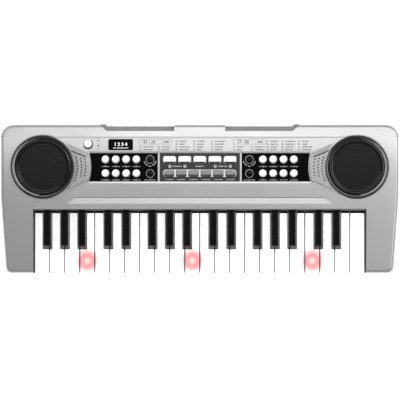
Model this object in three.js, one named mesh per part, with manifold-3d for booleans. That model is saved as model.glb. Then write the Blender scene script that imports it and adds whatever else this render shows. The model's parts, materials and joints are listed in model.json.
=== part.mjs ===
// A toy electronic keyboard with 37 mini keys: two case shells, two speakers, a button panel,
// a battery bay, and keys that rock on a rail. Millimetres, +Z up, the player sits at -Y.
// The origin is the middle of the footprint, on the surface that the feet stand on.

import * as THREE from "three";
import { mergeVertices } from "three/addons/utils/BufferGeometryUtils.js";
import Module from "manifold-3d";

const wasm = await Module();
wasm.setup();

// ---- Driving dimensions ----

// Keys
const WHITE_KEYS = 22;
const WHITE_PITCH = 16.22; // from one white key to the next
const FIRST_NOTE = 3; // the lowest white key is an F, counted from C = 0
const KEY_GAP = 0.8; // between two white keys
const WHITE_LENGTH = 66.8; // of a white key in front of the deck's edge
const WHITE_TOP = 27; // height of the white keys' tops
const WHITE_SKIRT = 13; // height of a white key's front
const WHITE_ROUND = 0.7; // edge rounding
const KEY_WALL = 1.6;
const PLUNGER_LENGTH = 8; // the solid block under a key that presses the contact strip
const BLACK_WIDTH = 9.5;
const BLACK_LENGTH = 40.4; // of a black key in front of the deck's edge
const BLACK_RISE = 8.5; // above the white keys
const BLACK_FRONT_SLOPE = 4; // how far a black key's top starts behind its foot
const BLACK_ROUND = 1.2;
const BLACK_GAP = 0.7; // between a black key and the white keys beside it
const BLACK_SHIFTS = { 0: -1.5, 1: 1.7, 3: -2.4, 4: 0.2, 5: 2.7 }; // of C#, D#, F#, G#, A#, from the boundary
const TAIL_LENGTH = 19.2; // from the deck's edge back to the pivot
const TAIL_HEIGHT = 6;
const TAIL_END = 4.4; // of a tail behind its pivot

// Case
const CHEEK_WIDTH = 35.2; // beside the key opening, at the widest
const KEY_SIDE_GAP = 1.4; // between the outer keys and the cheeks
const DECK_DEPTH = 93.7; // from the rear edge to the key opening
const KEY_REAR_GAP = 0.6; // between the keys' raised tops and the deck's edge
const REAR_HEIGHT = 42; // over the feet
const CREASE_DEPTH = 13.7; // the level strip along the rear edge
const DECK_TILT = THREE.MathUtils.degToRad(5);
const REAR_CORNER = 15;
const FRONT_CORNER = 7;
const SIDE_TAPER = 5.5; // each side draws in by this much, from the middle to the front
const SHELL = 2.5; // thickness of both shells
const EDGE_ROUND = 4;
const BASE_ROUND = 3;
const PARTING = 16; // height of the joint between the shells
const SEAM = 0.3; // the gap in that joint, and between pieces that seat on each other
const FRONT_LIP = 8; // height of the lower shell's wall under the keys
const FASCIA_DROP = 1; // from the deck's front wall down to the keys' tails
const DECK_FRONT_ROUND = 4;
const FOOT_HEIGHT = 2;
const FOOT_RADIUS = 7;
const FOOT_INSET_X = 35;
const FOOT_INSET_Y = 19;

// Ledge for a music rest, cut into the rear edge on both sides of a middle tab
const LEDGE_WIDTH = 77;
const LEDGE_DEPTH = 7.6; // in from the rear edge
const LEDGE_DROP = 4;
const LEDGE_LIP = 2.2; // how far the ledge's floor stays short of the rear edge
const LEDGE_SLANT = 6;
const TAB_HALF = 27.5;

// Groove along the deck
const GROOVE_REAR = 78.8; // from the rear edge
const GROOVE_WIDTH = 7.4;
const GROOVE_HALF = 134;
const GROOVE_SLANT = 6;
const GROOVE_DEEP = 0.8;

// Speakers
const SPEAKER_FROM_SIDE = 45.9;
const SPEAKER_FROM_REAR = 46.1;
const RING_RADIUS = 34;
const MESH_RADIUS = 25.7;
const SPEAKER_HOLE = 31;
const RING_HEIGHT = 1.6;
const MESH_RECESS = 1.2; // of the mesh's rim below the deck
const MESH_CROWN = 1.4;
const MESH_THICK = 1.2;
const MESH_STEP = 1; // the small slope round the mesh
const MESH_MID = 0.6; // where between its middle and its rim the crown bends
const DRIVER_RADIUS = 33;
const DRIVER_FLANGE = 2;
const BASKET_RADIUS = 28;
const BASKET_DEPTH = 11;
const MAGNET_RADIUS = 14;
const MAGNET_DEPTH = 8;
const POD_INNER = 36; // the raised pods beside the speakers
const POD_OUTER = 51.2;
const POD_HEIGHT = 1.2;
const POD_INNER_ARC = [-44.5, 46]; // degrees round the speaker, from the line towards the middle
const POD_OUTER_ARC = [-18, 17.4];
const POD_KNEE = 47.2; // where a pod's front side bends, 2.5 degrees past its outer arc
const POD_KNEE_TURN = 2.5;

// Control panel, in the deck's own plane: along X, and back from the speakers' line
const PANEL_FRONT = -16;
const PANEL_REAR = 14.9;
const PANEL_GAP = 0.9; // between the pods and the panel's round ends
const PANEL_THICK = 1.2;
const PANEL_LEDGE = 2; // what the panel rests on round its window
const PANEL_FIT = 0.35; // clearance round the panel and each button
const ROW_REAR = 7.8;
const ROW_FRONT = -7.3;
const ROUND_RADIUS = 4.35;
const ROUND_PITCH = 11.15;
const ROUND_FIRST = 68.1; // of the round buttons nearest to the middle
const ROUND_COLUMNS = 4;
const DOME_X = 53.5;
const DOME_RADIUS = 3.9;
const DOME_CROWN = 1.2;
const DOME_MID = 0.7; // where between its middle and its rim the crown bends
const BAR_WIDTH = 14;
const BAR_DEPTH = 6.9;
const BAR_PITCH = 16.3;
const BAR_ROW = 8.2;
const BAR_ROUND = 1.2;
const BARS = 5;
const PADS = 6;
const PAD_PITCH = 13.3;
const PAD_GAP = 1.2;
const PAD_DEPTH = 8;
const PAD_HEIGHT = 1;
const POWER_RADIUS = 4.6;
const POWER_X = 120.2; // left of the middle
const POWER_REAR = 24.6; // behind the speakers' line
const CAP_HEIGHT = 2; // of a button over the deck
const CAP_ROUND = 0.5;
const BUTTON_TRAVEL = 1.2;
const WEB = 1; // thickness of the flanges and webs that hold the buttons in
const FLANGE = 0.9; // how far a flange reaches past its cap

// Inside
const BOARD = 1.6;
const BOARD_PAST_POWER = 5.8; // how far the main board runs past the power button's middle
const BOARD_FRONT = -19;
const BOARD_REAR = 29.5;
const SWITCH_WIDTH = 4;
const BOSS_RADIUS = 2.4;
const BOSS_INSET = 3;
const POWER_BOSS_GAP = 16; // from the power button to the pillar beside it
const SHELL_BOSS = 4; // radius of the pillars that the shells' screws go through
const REAR_BOSS_X = 125;
const REAR_BOSS_INSET = 9.5;
const FRONT_BOSS_INSET = 20;
const RAIL_RADIUS = 2.5;
const RAIL_CLEARANCE = 0.35;
const KEY_BOARD_TOP = 10.1;
const KEY_BOARD_DEPTH = 17;
const STRIP_HEIGHT = 2.1;
const STRIP_WIDTH = 7;
const RIB = 2; // thickness of the lower shell's ribs
const LAMP_KEYS = [3, 10, 18]; // the white keys that are lit from below
const LAMP_FROM_FRONT = 13.5;
const LAMP_RADIUS = 2.5;
const LAMP_HEIGHT = 3;
const LAMP_FINGER = 8;

// Battery bay for four AA cells, and its door
const BAY_LENGTH = 106;
const BAY_WIDTH = 31;
const BAY_HEIGHT = 17;
const BAY_WALL = 1.6;
const BAY_FROM_REAR = 30;
const DOOR_THICK = 2.2;
const DOOR_TAB = 3; // how far its two tabs reach under the case
const DOOR_TAB_WIDTH = 12;
const DOOR_TAB_X = 30;
const DOOR_TAB_THICK = 1.5;
const DOOR_RIM = 1; // how far the bay's walls stand back from the door's hole

// ---- Values worked out from them ----
const OPENING_HALF = (WHITE_KEYS * WHITE_PITCH) / 2 + KEY_SIDE_GAP;
const CASE_HALF = OPENING_HALF + CHEEK_WIDTH;
const CASE_DEPTH = DECK_DEPTH + KEY_REAR_GAP + WHITE_LENGTH;
const REAR_Y = CASE_DEPTH / 2;
const FRONT_Y = -REAR_Y;
const EDGE_Y = REAR_Y - DECK_DEPTH; // the deck's edge over the keys
const CREASE_Y = REAR_Y - CREASE_DEPTH;
const TOP_Z = REAR_HEIGHT;
const SLOPE = Math.tan(DECK_TILT);
const SPEAKER_X = CASE_HALF - SPEAKER_FROM_SIDE;
const SPEAKER_Y = REAR_Y - SPEAKER_FROM_REAR;
const deckZ = (y) => TOP_Z - (CREASE_Y - y) * SLOPE;
const PIVOT_Y = EDGE_Y + TAIL_LENGTH;
const PIVOT_Z = WHITE_TOP - TAIL_HEIGHT;
const KEY_BASE = WHITE_TOP - WHITE_SKIRT;
const FAR = 400; // longer than the case
const BAY_REAR = REAR_Y - BAY_FROM_REAR;
const BAY_FRONT = BAY_REAR - BAY_WIDTH;
const DOOR_HINGE_Y = BAY_REAR - DOOR_TAB - DOOR_RIM; // the rear side of the door's hole
const BASE_TOP = FOOT_HEIGHT + SHELL; // the floor inside the lower shell
const KEYS_REAR = EDGE_Y - KEY_REAR_GAP;
const BOARD_HALF = POWER_X + BOARD_PAST_POWER;
const WEB_TOP = -PANEL_THICK - SEAM;
const BOARD_TOP = -SHELL - WEB - BUTTON_TRAVEL - 2 * SEAM; // clear of the pressed power button
const SWITCH_TOP = WEB_TOP - WEB - BUTTON_TRAVEL - SEAM;
const WEB_MIDDLE = WEB_TOP - WEB / 2 - CAP_ROUND / 2; // where the caps start, inside their webs
const DECK_FRAME = new THREE.Matrix4()
  .makeTranslation(0, SPEAKER_Y, deckZ(SPEAKER_Y))
  .multiply(new THREE.Matrix4().makeRotationX(DECK_TILT));

// ---- Outlines ----

// A closed outline from corners of [x, y, radius], its round corners as short straight steps.
function rounded(corners, step = Math.PI / 10) {
  return corners.flatMap(([x, y, radius], i) => {
    const corner = new THREE.Vector2(x, y);
    if (!radius) return [corner];
    const before = corners.at(i - 1);
    const after = corners[(i + 1) % corners.length];
    const back = new THREE.Vector2(before[0], before[1]).sub(corner).normalize();
    const ahead = new THREE.Vector2(after[0], after[1]).sub(corner).normalize();
    const half = Math.acos(back.dot(ahead)) / 2;
    const centre = back.clone().add(ahead).normalize().multiplyScalar(radius / Math.sin(half)).add(corner);
    const start = back.clone().multiplyScalar(radius / Math.tan(half)).add(corner);
    const turn = (Math.PI - 2 * half) * Math.sign(ahead.cross(back));
    const steps = Math.max(1, Math.ceil(Math.abs(turn) / step));
    return Array.from({ length: steps + 1 }, (_, k) =>
      start.clone().rotateAround(centre, (turn * k) / steps),
    );
  });
}

function rectangle(x, y, width, depth, radius = 0, step = Math.PI / 10) {
  const [left, right] = [x - width / 2, x + width / 2];
  const [front, rear] = [y - depth / 2, y + depth / 2];
  const corners = [[left, front], [right, front], [right, rear], [left, rear]];
  return rounded(corners.map((corner) => [...corner, radius]), step);
}

function arc(x, y, radius, from, to, steps) {
  return Array.from({ length: steps + 1 }, (_, k) => {
    const angle = from + ((to - from) * k) / steps;
    return new THREE.Vector2(x + radius * Math.cos(angle), y + radius * Math.sin(angle));
  });
}

const circle = (x, y, radius, sides = 16) => arc(x, y, radius, 0, 2 * Math.PI, sides).slice(0, -1);

const mirrored = (points) => points.map((p) => new THREE.Vector2(-p.x, p.y));

// ---- Solids ----

// A closed geometry as a solid that can be joined and cut.
function solid(geometry) {
  const bare = geometry.clone();
  bare.deleteAttribute("normal");
  bare.deleteAttribute("uv");
  const merged = mergeVertices(bare, 1e-4);
  const vertProperties = merged.attributes.position.array;
  const triVerts = new Uint32Array(merged.index.array);
  return new wasm.Manifold(new wasm.Mesh({ numProp: 3, vertProperties, triVerts }));
}

// A solid's surface, as the geometry of a mesh.
function surface(body) {
  const { vertProperties, triVerts } = body.getMesh();
  const geometry = new THREE.BufferGeometry();
  geometry.setAttribute("position", new THREE.BufferAttribute(new Float32Array(vertProperties), 3));
  geometry.setIndex(new THREE.BufferAttribute(new Uint32Array(triVerts), 1));
  geometry.computeVertexNormals();
  return geometry;
}

const joined = (bodies) => bodies.reduce((all, body) => all.add(body));

// A solid over an outline, from one height to another, with its edges rounded by so much.
function prism(points, low, high, round = 0, steps = 1, place = null) {
  const geometry = new THREE.ExtrudeGeometry(new THREE.Shape(points), {
    depth: high - low - 2 * round,
    bevelEnabled: round > 0,
    bevelSize: round,
    bevelThickness: round,
    bevelOffset: -round,
    bevelSegments: steps,
  }).translate(0, 0, low + round);
  if (place) geometry.applyMatrix4(place);
  return solid(geometry);
}

const box = (left, right, front, rear, low, high) =>
  prism(rectangle((left + right) / 2, (front + rear) / 2, right - left, rear - front), low, high);

// A solid over an outline of [y, z] points, from one side to the other.
function sideways(points, left, right, round = 0) {
  const toX = new THREE.Matrix4().makeBasis(
    new THREE.Vector3(0, 1, 0),
    new THREE.Vector3(0, 0, 1),
    new THREE.Vector3(1, 0, 0),
  );
  return prism(points, left, right, round, 1, toX);
}

// A turned solid about the Z axis, from [radius, height] points that run from the axis's foot to its top.
function turned(points, sides) {
  const profile = points.map(([radius, height]) => new THREE.Vector2(radius, height));
  return solid(new THREE.LatheGeometry(profile, sides).rotateX(Math.PI / 2));
}

// ---- The case ----

// The case's outline, drawn in by so much.
function caseOutline(inset) {
  const half = CASE_HALF - inset;
  const narrow = half - SIDE_TAPER;
  const [front, rear] = [FRONT_Y + inset, REAR_Y - inset];
  const frontCorner = Math.max(FRONT_CORNER - inset, 1);
  const rearCorner = Math.max(REAR_CORNER - inset, 1);
  return rounded([
    [-narrow, front, frontCorner],
    [narrow, front, frontCorner],
    [half, 0, 0],
    [half, rear, rearCorner],
    [-half, rear, rearCorner],
    [-half, 0, 0],
  ]);
}

// Moves a height over the deck's plane to its true height.
const deckShear = (drop) =>
  new THREE.Matrix4().set(1, 0, 0, 0, 0, 1, 0, 0, 0, SLOPE, 1, deckZ(0) - drop, 0, 0, 0, 1);

// A block whose top is level behind the crease, and slopes down with the deck in front of it.
function caseBlock(inset, round) {
  const outline = caseOutline(inset);
  const level = prism(outline, -FAR, TOP_Z - inset, round, 3);
  const sloped = prism(outline, -FAR, 0, round, 3, deckShear(inset));
  return level.intersect(sloped);
}

// The space over both ledges and behind them, grown by so much.
function ledgeSpace(grow) {
  const near = TAB_HALF - grow;
  const far = TAB_HALF + LEDGE_WIDTH + grow;
  const inner = REAR_Y - LEDGE_DEPTH - grow;
  const outline = rounded([
    [near, inner, 0],
    [far - LEDGE_SLANT, inner, 3],
    [far, REAR_Y, 0],
    [far, FAR, 0],
    [near, FAR, 0],
  ]);
  const behind = rectangle((near + far - LEDGE_SLANT) / 2, FAR / 2, far - near - LEDGE_SLANT, FAR)
    .map((p) => new THREE.Vector2(p.x, Math.max(p.y, REAR_Y - LEDGE_LIP - grow)));
  const low = TOP_Z - LEDGE_DROP - grow;
  return joined(
    [(points) => points, mirrored].flatMap((turn) => [
      prism(turn(outline), low, FAR),
      prism(turn(behind), -FAR, FAR),
    ]),
  );
}

// The shallow groove across the deck in front of the panel.
function grooveSpace() {
  const rear = REAR_Y - GROOVE_REAR;
  const front = rear - GROOVE_WIDTH;
  const outline = rounded([
    [-GROOVE_HALF - GROOVE_SLANT, front, 0],
    [GROOVE_HALF + GROOVE_SLANT, front, 0],
    [GROOVE_HALF, rear, 0],
    [-GROOVE_HALF, rear, 0],
  ]);
  return prism(outline, -GROOVE_DEEP, FAR, 0, 1, deckShear(0));
}

// What is cut from the deck's edge over the keys to round it off.
function deckFrontSpace() {
  const top = deckZ(EDGE_Y);
  const [y, z] = [EDGE_Y + DECK_FRONT_ROUND, top - DECK_FRONT_ROUND];
  const round = arc(y, z, DECK_FRONT_ROUND, Math.PI, Math.PI / 2 + DECK_TILT, 4);
  const clear = EDGE_Y - DECK_FRONT_ROUND;
  const outside = [new THREE.Vector2(y, FAR), new THREE.Vector2(clear, FAR), new THREE.Vector2(clear, z)];
  return sideways([...round, ...outside], -OPENING_HALF, OPENING_HALF);
}

// The raised pod on one side of the panel, between a speaker and the panel's round end.
function podOutline(side) {
  const { degToRad } = THREE.MathUtils;
  const [foot, top] = POD_OUTER_ARC.map(degToRad);
  const [innerFoot, innerTop] = POD_INNER_ARC.map(degToRad);
  const knee = foot - degToRad(POD_KNEE_TURN);
  const outline = [
    new THREE.Vector2(Math.cos(knee), Math.sin(knee)).multiplyScalar(POD_KNEE),
    ...arc(0, 0, POD_OUTER, foot, top, 6),
    ...arc(0, 0, POD_INNER, innerTop, innerFoot, 8),
  ].map((p) => new THREE.Vector2(p.x - SPEAKER_X, p.y));
  return side < 0 ? outline : mirrored(outline);
}

// The panel's outline in the deck's plane, drawn in by so much. Its round ends follow the pods.
function panelOutline(inset) {
  const radius = POD_OUTER + PANEL_GAP + inset;
  const rear = Math.asin((PANEL_REAR - inset) / radius);
  const front = Math.asin((PANEL_FRONT + inset) / radius);
  const left = arc(-SPEAKER_X, 0, radius, rear, front, 8).reverse();
  return [...left, ...mirrored(left).reverse()];
}

const SIDES = [-1, 1];
const BOARD_BOSSES = SIDES.flatMap((side) => [
  [side * (BOARD_HALF - BOSS_INSET), BOARD_FRONT + BOSS_INSET],
  [side * (POWER_X - POWER_BOSS_GAP), BOARD_REAR - BOSS_INSET],
]);
const SHELL_BOSSES = SIDES.flatMap((side) => [
  [side * REAR_BOSS_X, REAR_Y - REAR_BOSS_INSET],
  [side * (OPENING_HALF + SHELL + (CHEEK_WIDTH - SIDE_TAPER - 2 * SHELL) / 2), FRONT_Y + FRONT_BOSS_INSET],
]);

function upperCase() {
  const wells = box(-OPENING_HALF - SHELL, OPENING_HALF + SHELL, -FAR, EDGE_Y + SHELL, -FAR, FAR);
  const inside = caseBlock(SHELL, EDGE_ROUND - SHELL).subtract(ledgeSpace(SHELL)).subtract(wells);
  const bosses = SHELL_BOSSES.map(([x, y]) =>
    prism(circle(x, y, SHELL_BOSS, 12), PARTING, TOP_Z - SHELL / 2),
  );
  const pods = SIDES.map((side) =>
    prism(podOutline(side), -SHELL / 2, POD_HEIGHT, POD_HEIGHT / 2, 1, DECK_FRAME),
  );
  const posts = BOARD_BOSSES.map(([x, y]) =>
    prism(circle(x, y, BOSS_RADIUS, 10), BOARD_TOP + SEAM, -SHELL / 2, 0, 1, DECK_FRAME),
  );
  const shell = caseBlock(0, EDGE_ROUND).subtract(inside);
  const onDeck = joined([shell, ...pods, ...posts]).add(joined(bosses).intersect(caseBlock(SHELL / 2, 0)));
  const speakerHoles = SIDES.map((side) =>
    prism(circle(side * SPEAKER_X, 0, SPEAKER_HOLE, 32), -FAR / 10, FAR / 10, 0, 1, DECK_FRAME),
  );
  const cuts = [
    box(-OPENING_HALF, OPENING_HALF, -FAR, EDGE_Y, -FAR, FAR),
    box(-OPENING_HALF, OPENING_HALF, -FAR, EDGE_Y + 2 * SHELL, -FAR, WHITE_TOP + FASCIA_DROP),
    box(-FAR, FAR, -FAR, FAR, -2 * FAR, PARTING),
    ledgeSpace(0),
    grooveSpace(),
    deckFrontSpace(),
    ...speakerHoles,
    prism(panelOutline(0), -PANEL_THICK - SEAM, FAR / 10, 0, 1, DECK_FRAME),
    prism(panelOutline(PANEL_LEDGE), -2 * SHELL, 0, 0, 1, DECK_FRAME),
    prism(circle(-POWER_X, POWER_REAR, POWER_RADIUS + PANEL_FIT), -2 * SHELL, SHELL, 0, 1, DECK_FRAME),
  ];
  return cuts.reduce((body, cut) => body.subtract(cut), onDeck);
}

// The rib with a round top that every key rocks on.
function keyRail() {
  const top = arc(PIVOT_Y, PIVOT_Z, RAIL_RADIUS, 0, Math.PI, 8);
  const foot = [
    new THREE.Vector2(PIVOT_Y - RAIL_RADIUS, FOOT_HEIGHT + SHELL / 2),
    new THREE.Vector2(PIVOT_Y + RAIL_RADIUS, FOOT_HEIGHT + SHELL / 2),
  ];
  return sideways([...top, ...foot], -OPENING_HALF, OPENING_HALF);
}

function lowerCase() {
  const base = FOOT_HEIGHT + SHELL / 2; // what stands on the floor starts inside it
  const rim = PARTING - SEAM;
  const inside = prism(caseOutline(SHELL), BASE_TOP, FAR).subtract(ledgeSpace(SHELL));
  const tray = prism(caseOutline(0), FOOT_HEIGHT, FAR, BASE_ROUND, 2)
    .subtract(inside)
    .subtract(ledgeSpace(0))
    .subtract(box(-FAR, FAR, -FAR, FAR, rim, 2 * FAR));
  const bayTop = BASE_TOP + BAY_HEIGHT;
  const bayHalf = BAY_LENGTH / 2;
  const bay = box(-bayHalf - BAY_WALL, bayHalf + BAY_WALL, BAY_FRONT - BAY_WALL, BAY_REAR + BAY_WALL,
    base, bayTop + BAY_WALL);
  const feet = SIDES.flatMap((x) =>
    SIDES.map((y) =>
      prism(circle(x * (CASE_HALF - FOOT_INSET_X), y * (REAR_Y - FOOT_INSET_Y), FOOT_RADIUS), 0, base),
    ),
  );
  const bosses = SHELL_BOSSES.map(([x, y]) => prism(circle(x, y, SHELL_BOSS, 12), base, rim));
  const underBoard = KEY_BOARD_TOP - BOARD - SEAM;
  const ribs = [KEYS_REAR, KEYS_REAR - KEY_BOARD_DEPTH + 2 * RIB].map((y) =>
    box(-OPENING_HALF, OPENING_HALF, y - RIB, y, base, underBoard),
  );
  const cuts = [
    box(-bayHalf, bayHalf, BAY_FRONT, BAY_REAR, BASE_TOP, bayTop),
    box(-bayHalf + DOOR_RIM, bayHalf - DOOR_RIM, BAY_FRONT + DOOR_RIM, DOOR_HINGE_Y, 0, BASE_TOP + 1),
    box(-OPENING_HALF, OPENING_HALF, -FAR, FRONT_Y + 2 * SHELL + FRONT_CORNER, FRONT_LIP, FAR),
  ];
  const whole = joined([tray, bay, keyRail(), ...feet, ...bosses, ...ribs]);
  return cuts.reduce((body, cut) => body.subtract(cut), whole);
}

// The battery door: a plate that lies flush in the base and swings down about its rear edge.
function batteryDoor() {
  const half = BAY_LENGTH / 2 - DOOR_RIM - PANEL_FIT;
  const rear = DOOR_HINGE_Y - PANEL_FIT;
  const front = BAY_FRONT + DOOR_RIM + PANEL_FIT;
  const tabLow = BASE_TOP + SEAM;
  const tabTop = tabLow + DOOR_TAB_THICK;
  const plate = box(-half, half, front, rear, FOOT_HEIGHT, FOOT_HEIGHT + DOOR_THICK);
  const tabs = SIDES.flatMap((side) => {
    const left = side * DOOR_TAB_X - DOOR_TAB_WIDTH / 2;
    const right = left + DOOR_TAB_WIDTH;
    return [
      box(left, right, rear - DOOR_TAB_THICK, rear, FOOT_HEIGHT, tabTop),
      box(left, right, rear - DOOR_TAB_THICK, rear + DOOR_TAB, tabLow, tabTop),
    ];
  });
  return joined([plate, ...tabs]);
}

// ---- Speakers, in the deck's plane with the speaker's centre as origin ----

// The trim ring and its domed grille, in one piece.
function grille() {
  const rim = -MESH_RECESS;
  const spigot = SPEAKER_HOLE - PANEL_FIT;
  return turned([
    [0, rim - MESH_THICK],
    [spigot, rim - MESH_THICK],
    [spigot, SEAM],
    [RING_RADIUS, SEAM],
    [RING_RADIUS, RING_HEIGHT - CAP_ROUND],
    [RING_RADIUS - CAP_ROUND, RING_HEIGHT],
    [SPEAKER_HOLE, RING_HEIGHT],
    [MESH_RADIUS + MESH_STEP, rim + MESH_STEP],
    [MESH_RADIUS, rim],
    [MESH_RADIUS * MESH_MID, rim + MESH_CROWN * (1 - MESH_MID ** 2)],
    [0, rim + MESH_CROWN],
  ], 32);
}

function driver() {
  const top = -SHELL - SEAM;
  const back = top - DRIVER_FLANGE;
  const magnet = back - BASKET_DEPTH;
  return turned([
    [0, magnet - MAGNET_DEPTH],
    [MAGNET_RADIUS, magnet - MAGNET_DEPTH],
    [MAGNET_RADIUS, magnet],
    [BASKET_RADIUS, back],
    [DRIVER_RADIUS, back],
    [DRIVER_RADIUS, top],
    [BASKET_RADIUS, top],
    [MAGNET_RADIUS / 2, top - BASKET_DEPTH / 2],
    [0, top - BASKET_DEPTH / 2],
  ], 20);
}

// ---- Panel and buttons, in the deck's plane ----

const ROUND_SPOTS = [ROW_FRONT, ROW_REAR].flatMap((y) =>
  Array.from({ length: ROUND_COLUMNS }, (_, i) => [ROUND_FIRST + i * ROUND_PITCH, y]),
);
const DOME_SPOTS = SIDES.flatMap((side) => [ROW_FRONT, ROW_REAR].map((y) => [side * DOME_X, y]));
const BAR_SPOTS = Array.from({ length: BARS }, (_, i) => (i - (BARS - 1) / 2) * BAR_PITCH);
const PAD_SPOTS = Array.from({ length: PADS }, (_, i) => (i - (PADS - 1) / 2) * PAD_PITCH);
const PAD_ROW_WIDTH = PADS * PAD_PITCH - PAD_GAP;

const barOutline = (x, grow) =>
  rectangle(x, BAR_ROW, BAR_WIDTH + 2 * grow, BAR_DEPTH + 2 * grow, BAR_ROUND + grow, Math.PI / 4);

function controlPanel() {
  const plate = prism(panelOutline(PANEL_FIT), -PANEL_THICK, 0);
  const hole = (outline) => prism(outline, -2 * PANEL_THICK, PANEL_THICK);
  const holes = [
    ...SIDES.flatMap((side) =>
      ROUND_SPOTS.map(([x, y]) => hole(circle(side * x, y, ROUND_RADIUS + PANEL_FIT, 12))),
    ),
    ...DOME_SPOTS.map(([x, y]) => hole(circle(x, y, DOME_RADIUS + PANEL_FIT, 12))),
    ...BAR_SPOTS.map((x) => hole(barOutline(x, PANEL_FIT))),
    hole(rectangle(0, ROW_FRONT, PAD_ROW_WIDTH + 2 * PANEL_FIT, PAD_DEPTH + 2 * PANEL_FIT)),
  ];
  return holes.reduce((body, cut) => body.subtract(cut), plate);
}

// Eight round caps moulded on one web, on one side of the panel.
function roundButtons(side) {
  const low = WEB_TOP - WEB;
  const caps = ROUND_SPOTS.map(([x, y]) =>
    prism(circle(side * x, y, ROUND_RADIUS, 12), WEB_MIDDLE, CAP_HEIGHT, CAP_ROUND),
  );
  const middle = side * (ROUND_FIRST + ((ROUND_COLUMNS - 1) * ROUND_PITCH) / 2);
  const width = (ROUND_COLUMNS - 1) * ROUND_PITCH + 2 * ROUND_RADIUS;
  const depth = ROW_REAR - ROW_FRONT + 2 * ROUND_RADIUS;
  const web = prism(rectangle(middle, (ROW_REAR + ROW_FRONT) / 2, width, depth, ROUND_RADIUS), low, WEB_TOP);
  return joined([web, ...caps]);
}

function domeButton(x, y) {
  const low = WEB_TOP - WEB;
  const reach = DOME_RADIUS + FLANGE;
  const body = turned([
    [0, low],
    [reach, low],
    [reach, WEB_TOP],
    [DOME_RADIUS, WEB_TOP],
    [DOME_RADIUS, CAP_HEIGHT - DOME_CROWN],
    [DOME_RADIUS * DOME_MID, CAP_HEIGHT - DOME_CROWN * DOME_MID ** 2 * DOME_MID],
    [0, CAP_HEIGHT],
  ], 12);
  return body.translate([x, y, 0]);
}

function barButton(x) {
  const low = WEB_TOP - WEB;
  const cap = prism(barOutline(x, 0), WEB_MIDDLE, CAP_HEIGHT, CAP_ROUND);
  return cap.add(prism(barOutline(x, FLANGE), low, WEB_TOP));
}

// Six rubber pads moulded on one web.
function drumPads() {
  const low = WEB_TOP - WEB;
  const caps = PAD_SPOTS.map((x) =>
    prism(rectangle(x, ROW_FRONT, PAD_PITCH - PAD_GAP, PAD_DEPTH), WEB_MIDDLE, PAD_HEIGHT, CAP_ROUND),
  );
  const web = prism(rectangle(0, ROW_FRONT, PAD_ROW_WIDTH, PAD_DEPTH + 2 * FLANGE), low, WEB_TOP);
  return joined([web, ...caps]);
}

function powerButton() {
  const flangeTop = -SHELL - SEAM;
  const cap = prism(circle(-POWER_X, POWER_REAR, POWER_RADIUS), flangeTop - WEB, CAP_HEIGHT, CAP_ROUND);
  return cap.add(prism(circle(-POWER_X, POWER_REAR, POWER_RADIUS + FLANGE), flangeTop - WEB, flangeTop));
}

// The circuit board under the deck, with a switch under each button of the panel.
function mainBoard() {
  const low = BOARD_TOP - BOARD;
  const depth = BOARD_REAR - BOARD_FRONT;
  const plate = prism(rectangle(0, (BOARD_REAR + BOARD_FRONT) / 2, 2 * BOARD_HALF, depth), low, BOARD_TOP);
  const spots = [
    ...SIDES.flatMap((side) => ROUND_SPOTS.map(([x, y]) => [side * x, y])),
    ...DOME_SPOTS,
    ...BAR_SPOTS.map((x) => [x, BAR_ROW]),
    ...PAD_SPOTS.map((x) => [x, ROW_FRONT]),
  ];
  const switches = spots.map(([x, y]) =>
    prism(rectangle(x, y, SWITCH_WIDTH, SWITCH_WIDTH), BOARD_TOP - BOARD / 2, SWITCH_TOP),
  );
  return joined([plate, ...switches]);
}

// The strip of circuit board and rubber contacts under the keys, with a finger out to each key lamp.
function contactBoard() {
  const low = KEY_BOARD_TOP - BOARD;
  const front = KEYS_REAR - KEY_BOARD_DEPTH;
  const half = OPENING_HALF - KEY_SIDE_GAP;
  const plate = box(-half, half, front, KEYS_REAR, low, KEY_BOARD_TOP);
  const middle = KEYS_REAR - PLUNGER_LENGTH / 2;
  const strip = box(-half, half, middle - STRIP_WIDTH / 2, middle + STRIP_WIDTH / 2,
    low + BOARD / 2, KEY_BOARD_TOP + STRIP_HEIGHT);
  const lamps = LAMP_KEYS.flatMap((key) => {
    const x = (key + 0.5 - WHITE_KEYS / 2) * WHITE_PITCH;
    const y = FRONT_Y + LAMP_FROM_FRONT;
    return [
      box(x - LAMP_FINGER / 2, x + LAMP_FINGER / 2, y - LAMP_FINGER / 2, front + RIB, low, KEY_BOARD_TOP),
      prism(circle(x, y, LAMP_RADIUS, 12), low + BOARD / 2, KEY_BOARD_TOP + LAMP_HEIGHT, CAP_ROUND),
    ];
  });
  return joined([plate, strip, ...lamps]);
}

// ---- Keys ----

const noteOf = (key) => (FIRST_NOTE + key) % 7;

// The middle of the black key above the boundary after a white key, or null where there is none.
function blackAfter(key) {
  const shift = BLACK_SHIFTS[noteOf(key)];
  if (key < 0 || key >= WHITE_KEYS - 1 || shift === undefined) return null;
  return (key + 1 - WHITE_KEYS / 2) * WHITE_PITCH + shift;
}

// A white key's sides: at its front, and beside the black keys.
function whiteSides(key) {
  const left = (key - WHITE_KEYS / 2) * WHITE_PITCH + KEY_GAP / 2;
  const right = left + WHITE_PITCH - KEY_GAP;
  const aside = BLACK_WIDTH / 2 + BLACK_GAP;
  const [before, after] = [blackAfter(key - 1), blackAfter(key)];
  return {
    front: [left, right],
    rear: [before === null ? left : before + aside, after === null ? right : after - aside],
  };
}

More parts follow.
